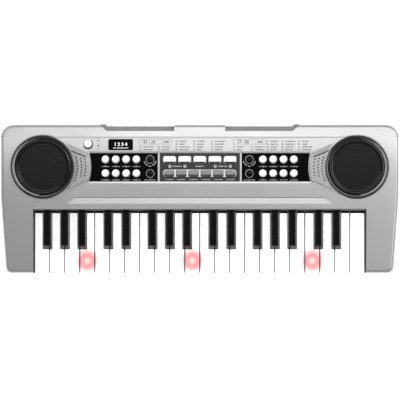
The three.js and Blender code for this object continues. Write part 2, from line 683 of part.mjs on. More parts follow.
// A white key's plan, drawn in by so much, back to a given place.
function whitePlan(key, inset, rearY) {
  const { front, rear } = whiteSides(key);
  const notchY = KEYS_REAR - BLACK_LENGTH - BLACK_GAP - inset;
  const points = [[front[0] + inset, FRONT_Y + inset], [front[1] - inset, FRONT_Y + inset]];
  if (rear[1] < front[1]) points.push([front[1] - inset, notchY], [rear[1] - inset, notchY]);
  points.push([rear[1] - inset, rearY], [rear[0] + inset, rearY]);
  if (rear[0] > front[0]) points.push([rear[0] + inset, notchY], [front[0] + inset, notchY]);
  return points.map(([x, y]) => new THREE.Vector2(x, y));
}

// The tail that carries a key back under the deck and over the rail.
function keyTail(left, right) {
  const front = KEYS_REAR - PLUNGER_LENGTH / 2;
  const rear = PIVOT_Y + TAIL_END;
  const top = WHITE_TOP - WHITE_ROUND;
  const notch = arc(PIVOT_Y, PIVOT_Z, RAIL_RADIUS + RAIL_CLEARANCE, Math.PI, 0, 6);
  const corners = [[rear, PIVOT_Z], [rear, top], [front, top], [front, PIVOT_Z]];
  return sideways([...notch, ...corners.map(([y, z]) => new THREE.Vector2(y, z))], left, right);
}

function whiteKey(key) {
  const { rear } = whiteSides(key);
  const block = prism(whitePlan(key, 0, KEYS_REAR), KEY_BASE, WHITE_TOP, WHITE_ROUND);
  const pocket = prism(whitePlan(key, KEY_WALL, KEYS_REAR - PLUNGER_LENGTH), 0, WHITE_TOP - KEY_WALL);
  return block.subtract(pocket).add(keyTail(...rear));
}

function blackKey(middle) {
  const [left, right] = [middle - BLACK_WIDTH / 2, middle + BLACK_WIDTH / 2];
  const front = KEYS_REAR - BLACK_LENGTH;
  const top = WHITE_TOP + BLACK_RISE;
  const side = [
    [front, KEY_BASE],
    [KEYS_REAR, KEY_BASE],
    [KEYS_REAR, top],
    [front + BLACK_FRONT_SLOPE, top],
    [front, WHITE_TOP + BLACK_ROUND],
  ].map(([y, z]) => new THREE.Vector2(y, z));
  const pocket = box(left + KEY_WALL, right - KEY_WALL, front + KEY_WALL, KEYS_REAR - PLUNGER_LENGTH,
    0, WHITE_TOP - KEY_WALL);
  return sideways(side, left, right, BLACK_ROUND).subtract(pocket).add(keyTail(left, right));
}

// ---- The assembly ----

const SILVER = { color: 0xb4b6b8, roughness: 0.38, metalness: 0.35 };
const GLOSS_BLACK = { color: 0x0b0b0c, roughness: 0.12, metalness: 0 };
const DARK_GREY = { color: 0x2c2d2f, roughness: 0.5, metalness: 0 };
const WHITE = { color: 0xf4f4f2, roughness: 0.25, metalness: 0 };
const RUBBER_GREY = { color: 0x77797b, roughness: 0.7, metalness: 0 };
const BOARD_GREEN = { color: 0x2f5d3a, roughness: 0.5, metalness: 0 };
const STEEL = { color: 0x8d9094, roughness: 0.35, metalness: 0.9 };

const keyboard = new THREE.Group();
const deck = new THREE.Group(); // what lies in the deck's tilted plane
deck.position.set(0, SPEAKER_Y, deckZ(SPEAKER_Y));
deck.rotation.x = DECK_TILT;
keyboard.add(deck);

function place(parent, name, body, look, x = 0) {
  const mesh = new THREE.Mesh(surface(body), new THREE.MeshStandardMaterial(look));
  mesh.name = name;
  mesh.position.x = x;
  parent.add(mesh);
}

const numbered = (name, i) => `${name}_${String(i + 1).padStart(2, "0")}`;

place(keyboard, "upper_case", upperCase(), SILVER);
place(keyboard, "lower_case", lowerCase(), SILVER);
place(keyboard, "battery_door", batteryDoor(), SILVER);
place(keyboard, "contact_board", contactBoard(), BOARD_GREEN);
place(deck, "main_board", mainBoard(), BOARD_GREEN);
place(deck, "control_panel", controlPanel(), GLOSS_BLACK);
place(deck, "tone_buttons", roundButtons(-1), WHITE);
place(deck, "rhythm_buttons", roundButtons(1), WHITE);
place(deck, "drum_pads", drumPads(), RUBBER_GREY);
place(deck, "power_button", powerButton(), WHITE);
DOME_SPOTS.forEach(([x, y], i) => place(deck, numbered("dome_button", i), domeButton(x, y), GLOSS_BLACK));
BAR_SPOTS.forEach((x, i) => place(deck, numbered("bar_button", i), barButton(x), WHITE));
for (const [name, side] of [["left", -1], ["right", 1]]) {
  place(deck, `grille_${name}`, grille(), DARK_GREY, side * SPEAKER_X);
  place(deck, `driver_${name}`, driver(), STEEL, side * SPEAKER_X);
}
for (let key = 0; key < WHITE_KEYS; key++) place(keyboard, numbered("white_key", key), whiteKey(key), WHITE);
Array.from({ length: WHITE_KEYS }, (_, key) => blackAfter(key))
  .filter((middle) => middle !== null)
  .forEach((middle, i) => place(keyboard, numbered("black_key", i), blackKey(middle), GLOSS_BLACK));

export default keyboard;
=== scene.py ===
"""Dresses a toy electronic keyboard with 37 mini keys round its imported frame.

Everything is in metres, +Z up, with the player at -Y. Pieces of the deck are made lying flat, with the line
through both speakers as their X axis, and are then turned into the deck's own tilted plane.
"""

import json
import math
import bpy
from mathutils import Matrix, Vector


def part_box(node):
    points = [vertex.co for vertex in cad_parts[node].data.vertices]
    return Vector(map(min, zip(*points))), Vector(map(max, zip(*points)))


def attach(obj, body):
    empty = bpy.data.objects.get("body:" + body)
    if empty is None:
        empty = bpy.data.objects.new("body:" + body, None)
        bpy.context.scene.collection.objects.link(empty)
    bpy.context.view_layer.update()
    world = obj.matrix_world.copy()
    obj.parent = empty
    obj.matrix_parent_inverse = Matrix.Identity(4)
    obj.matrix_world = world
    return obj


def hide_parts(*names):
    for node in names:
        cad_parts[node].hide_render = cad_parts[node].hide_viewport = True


bl_info = {
    "name": "Toy Electronic Keyboard",
    "version": (1, 0, 0),
    "blender": (4, 5, 0),
    "location": "3D View > Sidebar > Keyboard",
    "description": "Shells, keys, buttons, speakers and finishes of a toy keyboard with 37 mini keys",
    "category": "Add Mesh",
}

import bmesh
import bpy
from bpy.props import FloatProperty, FloatVectorProperty, PointerProperty
from mathutils import Matrix, Vector
from mathutils.geometry import intersect_point_line

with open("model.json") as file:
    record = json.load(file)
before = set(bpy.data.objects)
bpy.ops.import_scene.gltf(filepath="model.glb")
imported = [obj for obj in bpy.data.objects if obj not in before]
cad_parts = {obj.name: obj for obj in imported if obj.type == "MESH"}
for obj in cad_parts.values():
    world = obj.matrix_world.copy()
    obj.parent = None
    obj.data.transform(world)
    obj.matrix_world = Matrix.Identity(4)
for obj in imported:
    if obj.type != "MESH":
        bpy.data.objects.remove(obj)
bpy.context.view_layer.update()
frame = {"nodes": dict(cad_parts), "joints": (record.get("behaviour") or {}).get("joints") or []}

MM = 0.001

# ---- Places read from the frame ----

JOINTS = {joint["name"]: joint for joint in frame["joints"]}
PRESS = Vector(JOINTS["power_button_press"]["axis"])  # square to the deck, downwards
TILT = math.atan2(PRESS.y, -PRESS.z)
SLOPE = math.tan(TILT)
_, PIVOT_Y, PIVOT_Z = JOINTS["white_key_01_press"]["pos_m"]
CASE_HALF, REAR_Y, TOP_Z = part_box("upper_case")[1]
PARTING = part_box("upper_case")[0].z
FRONT_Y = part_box("lower_case")[0].y
KEY_BASE, WHITE_TOP = (corner.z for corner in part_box("white_key_22"))
BLACK_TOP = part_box("black_key_01")[1].z
WHITE_KEYS = sum(name.startswith("white_key") for name in frame["nodes"])
BLACK_KEYS = sum(name.startswith("black_key") for name in frame["nodes"])
SIDES = (-1, 1)
SIDE_NAMES = {-1: "left", 1: "right"}


# ---- Sizes and colours that a user may change ----


def length(name, description, millimetres):
    return FloatProperty(name=name, description=description, default=millimetres * MM, unit="LENGTH",
                         precision=5)


def colour(name, description, red, green, blue):
    return FloatVectorProperty(name=name, description=description, default=(red, green, blue),
                               subtype="COLOR", min=0, max=1)


class KeyboardCase(bpy.types.PropertyGroup):
    """Sizes of the two shells."""

    wall: length("Wall", "Thickness of both shells", 2.5)
    edge_round: length("Edge round", "Rounding of the upper shell's edge", 4)
    base_round: length("Base round", "Rounding of the lower shell's edge", 3)
    rear_corner: length("Rear corner", "Radius of the rear corners in plan", 15)
    front_corner: length("Front corner", "Radius of the front corners in plan", 7)
    side_taper: length("Side taper", "How far each side draws in from the middle to the front", 5.5)
    cheek: length("Cheek", "Width beside the key opening", 35.2)
    deck_depth: length("Deck depth", "From the rear edge to the key opening", 93.7)
    deck_front_round: length("Deck front round", "Rounding of the deck's edge over the keys", 4)
    crease: length("Crease", "Width of the level strip along the rear edge", 13.7)
    front_lip: length("Front lip", "Height of the lower shell's wall under the keys", 8)
    seam: length("Seam", "Gap between pieces that seat on each other", 0.3)
    seam_groove: length("Seam groove", "Depth of the shadow line between the shells", 0.6)
    fascia_drop: length("Fascia drop", "From the deck's front wall down to the keys' tails", 1)
    field_depth: length("Field depth", "How far the printed field lies below the deck", 0.4)
    ledge_width: length("Ledge width", "Length of each music-rest ledge", 79)
    ledge_depth: length("Ledge depth", "How far a ledge reaches in from the rear edge", 7.6)
    ledge_drop: length("Ledge drop", "How far a ledge lies below the top", 4)
    ledge_lip: length("Ledge lip", "How far a ledge's floor stays short of the rear edge", 2.2)
    ledge_slant: length("Ledge slant", "Width of a ledge's slanting outer end", 6)
    tab_half: length("Tab", "Half the width of the tab between the ledges", 27.5)
    groove_rear: length("Groove", "From the rear edge to the groove in front of the panel", 78.8)
    groove_width: length("Groove width", "Width of that groove", 7.4)
    groove_half: length("Groove half", "Half its length at the rear side", 134)
    groove_slant: length("Groove slant", "How much longer each end is at the front side", 9.5)
    groove_deep: length("Groove depth", "Depth of the groove at its rear side", 1)
    foot_height: length("Foot height", "Height of the four feet", 2)
    foot_radius: length("Foot radius", "Radius of the four feet", 7)
    foot_inset_x: length("Foot inset X", "From a side to the feet's middle", 35)
    foot_inset_y: length("Foot inset Y", "From the rear or front edge to the feet's middle", 19)
    screw_well: length("Screw well", "Radius of the wells for the case screws", 4)


class KeyboardDeck(bpy.types.PropertyGroup):
    """Sizes of the speakers, the pods beside them and the panel."""

    speaker_from_side: length("Speaker side", "From a side to the speaker's middle", 45.9)
    speaker_from_rear: length("Speaker rear", "From the rear edge to the speakers' middle", 46.1)
    ring_radius: length("Ring radius", "Outer radius of a speaker's trim ring", 34)
    mesh_radius: length("Mesh radius", "Radius of the perforated part", 25.7)
    mesh_crown: length("Mesh crown", "Rise of the mesh towards its middle", 1.4)
    mesh_pitch: length("Mesh pitch", "From one hole of the mesh to the next", 1.5)
    mesh_hole: length("Mesh hole", "Radius of a hole of the mesh", 0.48)
    pod_inner: length("Pod inner", "Radius of the pods' side towards the speaker", 36)
    pod_outer: length("Pod outer", "Radius of the pods' side towards the panel", 51.2)
    pod_height: length("Pod height", "Height of the pods over the deck", 1.2)
    pod_knee: length("Pod knee", "Distance of the bend in a pod's front side", 47.2)
    pod_hole: length("Pod hole", "Radius of the sound holes in the pods", 0.8)
    panel_front: length("Panel front", "Panel's front edge, from the speakers' line", -16)
    panel_rear: length("Panel rear", "Panel's rear edge, from the speakers' line", 14.9)
    panel_gap: length("Panel gap", "Between the pods and the panel's round ends", 0.9)
    panel_thick: length("Panel thickness", "Thickness of the panel", 1.2)
    fit: length("Fit", "Clearance round the panel and each button", 0.35)
    divider: length("Divider", "From the middle to each silver divider of the panel", 44.2)
    divider_width: length("Divider width", "Width of a silver divider", 2)
    row_rear: length("Rear row", "Rear row of round buttons, from the speakers' line", 7.8)
    row_front: length("Front row", "Front row of round buttons, from the speakers' line", -7.3)
    badge_x: length("Badge X", "Middle of the small black plate, left of the middle", 85.2)
    badge_y: length("Badge Y", "Middle of the small black plate, from the speakers' line", 23.9)
    badge_width: length("Badge width", "Width of the small black plate", 26.6)
    badge_depth: length("Badge depth", "Depth of the small black plate", 12)


class KeyboardButtons(bpy.types.PropertyGroup):
    """Sizes of the buttons."""

    cap_height: length("Cap height", "Height of a button over the deck", 2)
    round_radius: length("Round radius", "Radius of a round white button", 4.25)
    round_first: length("First round", "From the middle to the nearest round button", 68.1)
    round_pitch: length("Round pitch", "From one round button to the next", 11.15)
    dome_x: length("Dome X", "From the middle to the black domes", 53.5)
    dome_radius: length("Dome radius", "Radius of a black dome", 3.75)
    dome_ring: length("Dome ring", "Outer radius of the silver ring round a dome", 4.5)
    bar_width: length("Bar width", "Width of a white bar button", 13.6)
    bar_depth: length("Bar depth", "Depth of a white bar button", 7.4)
    bar_pitch: length("Bar pitch", "From one bar button to the next", 16.3)
    bar_row: length("Bar row", "Row of the bar buttons, from the speakers' line", 7.7)
    pad_pitch: length("Pad pitch", "From one rubber pad to the next", 13.3)
    pad_gap: length("Pad gap", "Between two rubber pads", 1.2)
    pad_depth: length("Pad depth", "Depth of a rubber pad", 8)
    pad_height: length("Pad height", "Height of a rubber pad over the panel", 1)
    power_x: length("Power X", "Power button, left of the middle", 120.2)
    power_y: length("Power Y", "Power button, behind the speakers' line", 24.6)
    power_radius: length("Power radius", "Radius of the power button", 4.6)


class KeyboardKeys(bpy.types.PropertyGroup):
    """Sizes of the keys."""

    white_length: length("White length", "White key in front of the deck", 66.8)
    white_round: length("White round", "Rounding of a white key's edges", 0.7)
    wall: length("Wall", "Thickness of a key's walls", 1.6)
    plunger: length("Plunger", "Length of the solid block under a key", 8)
    black_width: length("Black width", "Width of a black key at its foot", 9.5)
    black_length: length("Black length", "Black key in front of the deck", 40.4)
    black_slope: length("Black slope", "How far a black key's top starts behind its foot", 4)
    black_gap: length("Black gap", "Between a black key and the white keys", 0.4)
    tail_end: length("Tail end", "Length of a tail behind its pivot", 4.4)
    lamp_from_front: length("Lamp", "From the keys' front edge to the lamp under a lit key", 13.5)


class KeyboardColours(bpy.types.PropertyGroup):
    """Colours of the finishes."""

    silver: colour("Silver", "Satin silver paint of the shells", 0.54, 0.54, 0.545)
    white: colour("White", "White keys and buttons", 0.93, 0.93, 0.92)
    gloss_black: colour("Black", "Glossy black panel and speaker rings", 0.0025, 0.0025, 0.0027)
    field_grey: colour("Field grey", "Middle field of the panel", 0.027, 0.0275, 0.028)
    mesh_black: colour("Mesh black", "Perforated speaker mesh where it is lightest", 0.03, 0.03, 0.0305)
    rubber: colour("Rubber", "Rubber pads", 0.18, 0.183, 0.187)
    tray: colour("Tray", "Light tray that holds the pads", 0.7, 0.705, 0.71)
    dark_ink_and_painted_shadow: colour("Dark ink", "Print on the silver deck", 0.035, 0.035, 0.04)
    light_ink: colour("Light ink", "Print on the panel", 0.32, 0.325, 0.33)
    glow: colour("Glow", "A lit key round its lamp", 0.56, 0.225, 0.25)
    glow_core: colour("Glow core", "A lit key over its lamp", 0.65, 0.52, 0.45)
    floor: colour("Floor", "Plain floor under the keyboard", 0.9, 0.9, 0.9)


def sizes(group):
    """One of the scene's groups of sizes: case, deck, buttons, keys or colours."""
    return getattr(bpy.context.scene, "keyboard_" + group)


# ---- Places worked out from both ----


def deck_height(y):
    """Height of the sloping deck's plane."""
    return TOP_Z - (REAR_Y - sizes("case").crease - y) * SLOPE


def opening_half():
    """Half the width of the key opening."""
    return CASE_HALF - sizes("case").cheek


def edge_y():
    """The deck's edge over the keys."""
    return REAR_Y - sizes("case").deck_depth


def keys_rear():
    """Where the keys' raised tops end, under the deck's edge."""
    return FRONT_Y + sizes("keys").white_length


def speaker_x():
    return CASE_HALF - sizes("deck").speaker_from_side


def speaker_y():
    return REAR_Y - sizes("deck").speaker_from_rear


def deck_place():
    """From the flat in which the deck's pieces are made to the deck's own plane."""
    y = speaker_y()
    return Matrix.Translation((0, y, deck_height(y))) @ Matrix.Rotation(TILT, 4, "X")


def across(node):
    """The left and right end of a CAD node."""
    return [corner.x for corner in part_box(node)]


# ---- Outlines: lists of flat points, anticlockwise ----

FULL_TURN = 2 * math.pi
ARC_STEP = math.radians(6)


def arc(centre, radius, start, end, steps=None):
    """Points along an arc, both ends included. Angles are in radians."""
    steps = steps or max(1, math.ceil(abs(end - start) / ARC_STEP))
    angles = (start + (end - start) * k / steps for k in range(steps + 1))
    return [Vector((centre[0] + radius * math.cos(a), centre[1] + radius * math.sin(a))) for a in angles]


def circle(centre, radius, sides=48):
    return arc(centre, radius, 0, FULL_TURN, sides)[:-1]


def rounded(corners, step=ARC_STEP):
    """A closed outline from corners of (x, y, radius), each round one as an arc of short steps."""
    points = []
    for i, (x, y, radius) in enumerate(corners):
        corner = Vector((x, y))
        if not radius:
            points.append(corner)
            continue
        back = (Vector(corners[i - 1][:2]) - corner).normalized()
        ahead = (Vector(corners[(i + 1) % len(corners)][:2]) - corner).normalized()
        half = math.acos(max(-1, min(1, back.dot(ahead)))) / 2
        centre = corner + (back + ahead).normalized() * radius / math.sin(half)
        spoke = corner + back * radius / math.tan(half) - centre
        start = math.atan2(spoke.y, spoke.x)
        turn = math.copysign(math.pi - 2 * half, ahead.cross(back))
        points += arc(centre, radius, start, start + turn, max(1, math.ceil(abs(turn) / step)))
    return points


def rectangle(x, y, width, depth, radius=0.0, step=ARC_STEP):
    left, right, front, rear = x - width / 2, x + width / 2, y - depth / 2, y + depth / 2
    return rounded([(left, front, radius), (right, front, radius), (right, rear, radius),
                    (left, rear, radius)], step)


def drawn_in(points, distance):
    """An outline drawn in by so much, each corner along its mitre."""
    drawn = []
    for i, point in enumerate(points):
        before = (point - points[i - 1]).normalized()
        after = (points[(i + 1) % len(points)] - point).normalized()
        inward = Vector((-before.y - after.y, before.x + after.x))
        drawn.append(point + inward * distance / max(0.2, 1 + before.dot(after)))
    return drawn


def mirrored(points):
    """The outline on the other side of the middle, still anticlockwise."""
    return [Vector((-p.x, p.y)) for p in reversed(points)]


def sided(points, side):
    return points if side < 0 else mirrored(points)


# ---- Solids: bmesh forms, and the objects that they become ----

ROUND_STEPS = 6
LEAST = 1e-7  # metres; anything shorter counts as nothing
SHARP_ANGLE = math.radians(34)
FLAT_WEIGHT = 80  # how much large faces outweigh small ones in the normals, in per cent


def stacked(rings):
    """A closed form through rings of as many points each, from its foot to its top."""
    form = bmesh.new()
    rows = [[form.verts.new(point) for point in ring] for ring in rings]
    count = len(rows[0])
    form.faces.new(list(reversed(rows[0])))
    form.faces.new(rows[-1])
    for low, high in zip(rows, rows[1:]):
        for i in range(count):
            j = (i + 1) % count
            form.faces.new((low[i], low[j], high[j], high[i]))
    return form


def rounded_steps(radius, steps):
    """(inset, rise) of each step of a rounded edge, from the side to the flat."""
    turns = [math.pi / 2 * k / steps for k in range(1, steps + 1)]
    return [(radius * (1 - math.cos(a)), radius * math.sin(a)) for a in turns]


def layered(layers):
    """A form through flat outlines, each at its height."""
    return stacked([[p.to_3d() + Vector((0, 0, z)) for p in points] for points, z in layers])


def prism(points, low, high, top=0.0, foot=0.0, steps=ROUND_STEPS):
    """A form over an outline, its top and foot edges rounded by so much."""
    layers = []
    if foot:
        layers = [(inset, low + foot - rise) for inset, rise in reversed(rounded_steps(foot, steps))]
    layers.append((0, low + foot))
    if high - top > low + foot + LEAST:
        layers.append((0, high - top))
    if top:
        layers += [(inset, high - top + rise) for inset, rise in rounded_steps(top, steps)]
    return layered([(drawn_in(points, inset), z) for inset, z in layers])


def flared(points, low, high, flare, top=0.0):
    """A cutter over an outline that widens by so much towards its top, for a hole with a broken edge."""
    layers = [(0, low), (0, high - flare), (-flare, high), (-flare, max(high, top) + flare)]
    return layered([(drawn_in(points, inset), z) for inset, z in layers])


def lathe(profile, sides=96):
    """A form turned about Z from (radius, height) points, from the foot of its axis to its top."""
    form = bmesh.new()
    turns = [(math.cos(FULL_TURN * i / sides), math.sin(FULL_TURN * i / sides)) for i in range(sides)]
    rows = [
        [form.verts.new((radius * c, radius * s, z)) for c, s in (turns if radius > LEAST else [(0, 0)])]
        for radius, z in profile
    ]
    for low, high in zip(rows, rows[1:] + ([rows[0]] if len(rows[0]) > 1 else [])):
        for i in range(sides):
            j = (i + 1) % sides
            corners = [low[i % len(low)], low[j % len(low)], high[j % len(high)], high[i % len(high)]]
            distinct = list(dict.fromkeys(corners))
            if len(distinct) > 2:
                form.faces.new(distinct)
    return form


def in_millimetres(profile):
    return [(radius * MM, height * MM) for radius, height in profile]


def sideways(points, left, right):
    """A form over an outline of (y, z) points, from one side to the other."""
    return stacked([[Vector((x, p.x, p.y)) for p in points] for x in (left, right)])


def block(left, right, front, rear, low, high):
    middle = ((left + right) / 2, (front + rear) / 2)
    return prism(rectangle(*middle, right - left, rear - front), low, high)


def made(name, *forms, place=None):
    """An object that holds the forms, moved to its place."""
    mesh = bpy.data.meshes.new(name)
    whole = bmesh.new()
    for form in forms:
        part = bpy.data.meshes.new("form")
        form.to_mesh(part)
        form.free()
        whole.from_mesh(part)
        bpy.data.meshes.remove(part)
    if place:
        whole.transform(place)
    whole.to_mesh(mesh)
    whole.free()
    obj = bpy.data.objects.new(name, mesh)
    bpy.context.scene.collection.objects.link(obj)
    return obj


def settled(obj):
    """Applies the modifiers to the mesh."""
    graph = bpy.context.evaluated_depsgraph_get()
    graph.update()
    mesh = bpy.data.meshes.new_from_object(obj.evaluated_get(graph))
    old = obj.data
    obj.modifiers.clear()
    obj.data = mesh
    bpy.data.meshes.remove(old)
    mesh.name = obj.name
    mesh.materials.clear()  # a cut leaves an empty one
    return obj


def combined(obj, other, operation):
    """Cuts, joins or keeps what two closed objects share. The other one is used up."""
    if not obj.data.polygons or not other.data.polygons:
        raise RuntimeError(f"{obj.name} or {other.name} is empty before {operation}")
    change = obj.modifiers.new(operation, "BOOLEAN")
    change.operation = operation
    change.solver = "MANIFOLD"
    change.object = other
    settled(obj)
    bpy.data.objects.remove(other)
    if not obj.data.polygons:
        raise RuntimeError(f"{obj.name} came out empty from {operation}")
    return obj


def cut(obj, *forms, place=None):
    for form in forms:
        combined(obj, made("cutter", form, place=place), "DIFFERENCE")
    return obj


def joined(obj, *forms, place=None):
    for form in forms:
        combined(obj, made("addition", form, place=place), "UNION")
    return obj


def kept(obj, form, place=None):
    return combined(obj, made("limit", form, place=place), "INTERSECT")


def repainted(obj, slot_index, chosen):
    """Gives the chosen faces another of the finishes that a piece is dressed with."""
    for face in obj.data.polygons:
        if chosen(face):
            face.material_index = slot_index


def dressed(obj, body, *finishes, slot=None, nodes=()):
    """Smooths a piece, paints it, and hangs it on its body in place of the CAD nodes that it stands for."""
    mesh = obj.data
    mesh.shade_smooth()
    mesh.set_sharp_from_angle(angle=SHARP_ANGLE)
    even = obj.modifiers.new("even_normals", "WEIGHTED_NORMAL")
    even.keep_sharp = True
    even.weight = FLAT_WEIGHT
    for name in finishes:
        mesh.materials.append(finish(name))
    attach(obj, body)
    if nodes:
        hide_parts(*nodes)
    return obj


# ---- Finishes: node materials ----

SOCKETS = {
    "metallic": "Metallic",
    "coat": "Coat Weight",
    "coat_roughness": "Coat Roughness",
    "specular": "Specular IOR Level",
}
RING_PERIOD = 2.3 * MM  # from one ring of the speaker meshes' enamel to the next
WAVE_PERIOD = math.pi / 10  # of the wave texture, at a scale of one
WHITE_PLASTIC = {"base": "white", "roughness": 0.3, "tint": ((2.5, 3), 0.012), "wear": ((4, 3), 0.25, 0.36),
                 "bump": ((1.2, 2), 0.004), "coat": 0.1, "coat_roughness": 0.2}
LIT_KEYS = (4, 11, 19)  # the white keys that have a lamp under them
# (mm from a lamp, share): of the rim's glow against the core's, then of plain white against the rim's
GLOW_IN = ((0.0, 0.0), (2.2, 0.36), (3.2, 0.63), (4.3, 0.88), (5.9, 1.0))
GLOW_OUT = ((7.5, 0.03), (8.6, 0.12), (9.7, 0.23), (10.8, 0.35), (12.4, 0.5), (14.0, 1.0))


class Finish:
    """A node material with noise in its colour, roughness and surface.

    Tint, wear and bump each start with their noise: (period in mm, detail, stretch). Then come the tint's
    spread, the lowest and highest roughness, or the bumps' height in mm. Each of leans and along_y scales
    the colour with painted light and shade: from one factor to another, between two levels of how the
    surface leans along an axis, or of its place along Y.
    """

    def __init__(self, name, base, roughness, tint=None, wear=None, bump=None, leans=(), along_y=(),
                 extra=None, **shine):
        self.material = bpy.data.materials.new(name)
        self.material.use_nodes = True
        self.tree = self.material.node_tree
        self.shader = self.tree.nodes["Principled BSDF"]
        self.place = self.node("TexCoord", {})["Object"]
        self.base = (*(getattr(sizes("colours"), base) if isinstance(base, str) else base), 1)
        shade = self.tones(self.noise(*tint[0]), tint[1]) if tint else self.base
        for axis, *levels in leans:
            shade = self.scaled(shade, self.ranged(self.leaning(axis), *levels))
        for levels in along_y:
            shade = self.scaled(shade, self.ranged(self.along("Y"), *levels))
        self.set("Base Color", shade)
        self.set("Roughness", self.ranged(self.noise(*wear[0]), *wear[1:]) if wear else roughness)
        if bump:
            bumps = {"Height": self.noise(*bump[0]), "Distance": bump[1] * MM, "Strength": 1}
            self.set("Normal", self.node("Bump", bumps)["Normal"])
        for key, value in shine.items():
            self.set(SOCKETS[key], value)
        if extra:
            extra(self)

    def plug(self, socket, value):
        """Sets a socket, or links another one to it."""
        if isinstance(value, bpy.types.NodeSocket):
            self.tree.links.new(value, socket)
        else:
            socket.default_value = value

    def set(self, socket, value):
        self.plug(self.shader.inputs[socket], value)

    def node(self, kind, sockets, **settings):
        """The outputs of a new node."""
        node = self.tree.nodes.new("ShaderNode" + kind)
        for key, value in settings.items():
            setattr(node, key, value)
        for key, value in sockets.items():
            self.plug(node.inputs[key], value)
        return node.outputs

    def noise(self, period, detail, stretch=(1, 1, 1)):
        """Noise whose blotches are about one period wide."""
        vector = self.node("Mapping", {"Vector": self.place, "Scale": stretch})["Vector"]
        sockets = {"Vector": vector, "Scale": 1 / (period * MM), "Detail": detail}
        return self.node("TexNoise", sockets)["Fac"]

    def ranged(self, value, low, high, start=0.3, end=0.7):
        """A value spread from low to high between two of its own levels."""
        sockets = {"Value": value, "From Min": start, "From Max": end, "To Min": low, "To Max": high}
        return self.node("MapRange", sockets)["Result"]

    def mixed(self, factor, first, second):
        """A colour between two, by a factor."""
        return self.node("Mix", {"Factor": factor, 6: first, 7: second}, data_type="RGBA")[2]

    def combined(self, operation, first, second):
        """Two vectors put together."""
        return self.node("VectorMath", {0: first, 1: second}, operation=operation)["Vector"]

    def leaning(self, axis):
        """How far the surface faces along an axis: 1 where square to it, 0 where along it."""
        normal = self.node("NewGeometry", {})["Normal"]
        return self.node("VectorMath", {0: normal, 1: axis}, operation="DOT_PRODUCT")["Value"]

    def along(self, axis):
        """The place along an axis."""
        return self.node("SeparateXYZ", {0: self.place})[axis]

    def scaled(self, shade, factor):
        """A colour times a factor."""
        return self.node("VectorMath", {0: shade, "Scale": factor}, operation="SCALE")["Vector"]

    def tones(self, value, spread):
        """A colour a little darker and lighter than the base colour, with the value."""
        dark = (*(c * (1 - spread) for c in self.base[:3]), 1)
        light = (*(min(1, c * (1 + spread)) for c in self.base[:3]), 1)
        return self.mixed(self.ranged(value, 0, 1), dark, light)


def painted_lip_shade(lip):
    """Painted shade: the paint darkens to dark specks as the edge turns down to face forward."""
    thin = lip.ranged(lip.leaning((0, -1, 0)), 0, 1, 0.25, 0.85)
    specks = lip.ranged(lip.noise(0.7, 4), 0, 1)
    speckled = lip.mixed(specks, (0.014, 0.014, 0.014, 1), (0.02, 0.02, 0.02, 1))
    lip.set("Base Color", lip.mixed(thin, lip.base, speckled))


def flange_painted_reflection(flange):
    """Painted reflection: the gloss turns grey on the sides that face the keyboard's middle."""
    sockets = {0: flange.along("X"), 1: flange.leaning((1, 0, 0))}
    outward = flange.node("Math", sockets, operation="MULTIPLY")["Value"]
    inward = flange.ranged(outward, 0, 1, -0.012, -0.024)
    blotches = flange.ranged(flange.noise(5, 3), 0, 1)
    grey = flange.mixed(blotches, (0.16, 0.16, 0.162, 1), (0.22, 0.22, 0.222, 1))
    flange.set("Base Color", flange.mixed(inward, flange.base, grey))


def ringed(enamel):
    """Fine rings round the middle of each speaker."""
    either_side = enamel.node("VectorMath", {0: enamel.place}, operation="ABSOLUTE")["Vector"]
    centred = enamel.combined("SUBTRACT", either_side, (speaker_x(), speaker_y(), 0))
    waves = {"Vector": centred, "Scale": WAVE_PERIOD / RING_PERIOD, "Distortion": 0.6, "Detail Scale": 3}
    rings = enamel.node("TexWave", waves, wave_type="RINGS", rings_direction="Z")["Fac"]
    enamel.set("Base Color", enamel.mixed(rings, (0.002, 0.002, 0.002, 1), enamel.base))


def lamp_places():
    """The middles of the lamps under the lit keys, on the floor."""
    y = FRONT_Y + sizes("keys").lamp_from_front
    return [Vector((sum(across(f"white_key_{key:02d}")) / 2, y, 0)) for key in LIT_KEYS]


def lit(white):
    """White plastic with a painted glow all over, strongest away from the lamps, a red glow round its
    lamps, and painted shade on its steep sides.
    """
    flat = white.combined("MULTIPLY", white.place, (1, 1, 0))
    nearest = None
    for place in lamp_places():
        distance = white.node("VectorMath", {0: flat, 1: place}, operation="DISTANCE")["Value"]
        if nearest:
            distance = white.node("Math", {0: nearest, 1: distance}, operation="MINIMUM")["Value"]
        nearest = distance
    reach = GLOW_OUT[-1][0] * MM
    colours = sizes("colours")
    plain, rim, core = (Vector(c) for c in (colours.white, colours.glow, colours.glow_core))
    stops = [(at, core.lerp(rim, part)) for at, part in GLOW_IN]
    stops += [(at, rim.lerp(plain, part)) for at, part in GLOW_OUT]
    ramp = white.tree.nodes.new("ShaderNodeValToRGB")
    for at, tone in stops[1:-1]:
        ramp.color_ramp.elements.new(at * MM / reach).color = (*tone, 1)
    for end in (0, -1):
        ramp.color_ramp.elements[end].color = (*stops[end][1], 1)
    white.plug(ramp.inputs["Fac"], white.ranged(nearest, 0, 1, 0, reach))
    grain = white.ranged(white.noise(3, 3), 0.985, 1.0)
    # Painted shade on the steep sides; the emission is a painted glow over the whole key besides the lamps'
    # red light
    upright = white.ranged(white.leaning((0, 0, 1)), 0.3, 1, 0.2, 0.92)
    shade = white.scaled(white.scaled(ramp.outputs["Color"], grain), upright)
    white.set("Base Color", shade)
    white.set("Emission Color", shade)
    white.set("Emission Strength", white.ranged(nearest, 0.34, 0.5, 0, reach))


def lightbox(paper):
    """Paper as bright as over a lightbox."""
    paper.set("Emission Color", (1, 1, 1, 1))
    paper.set("Emission Strength", 0.9)


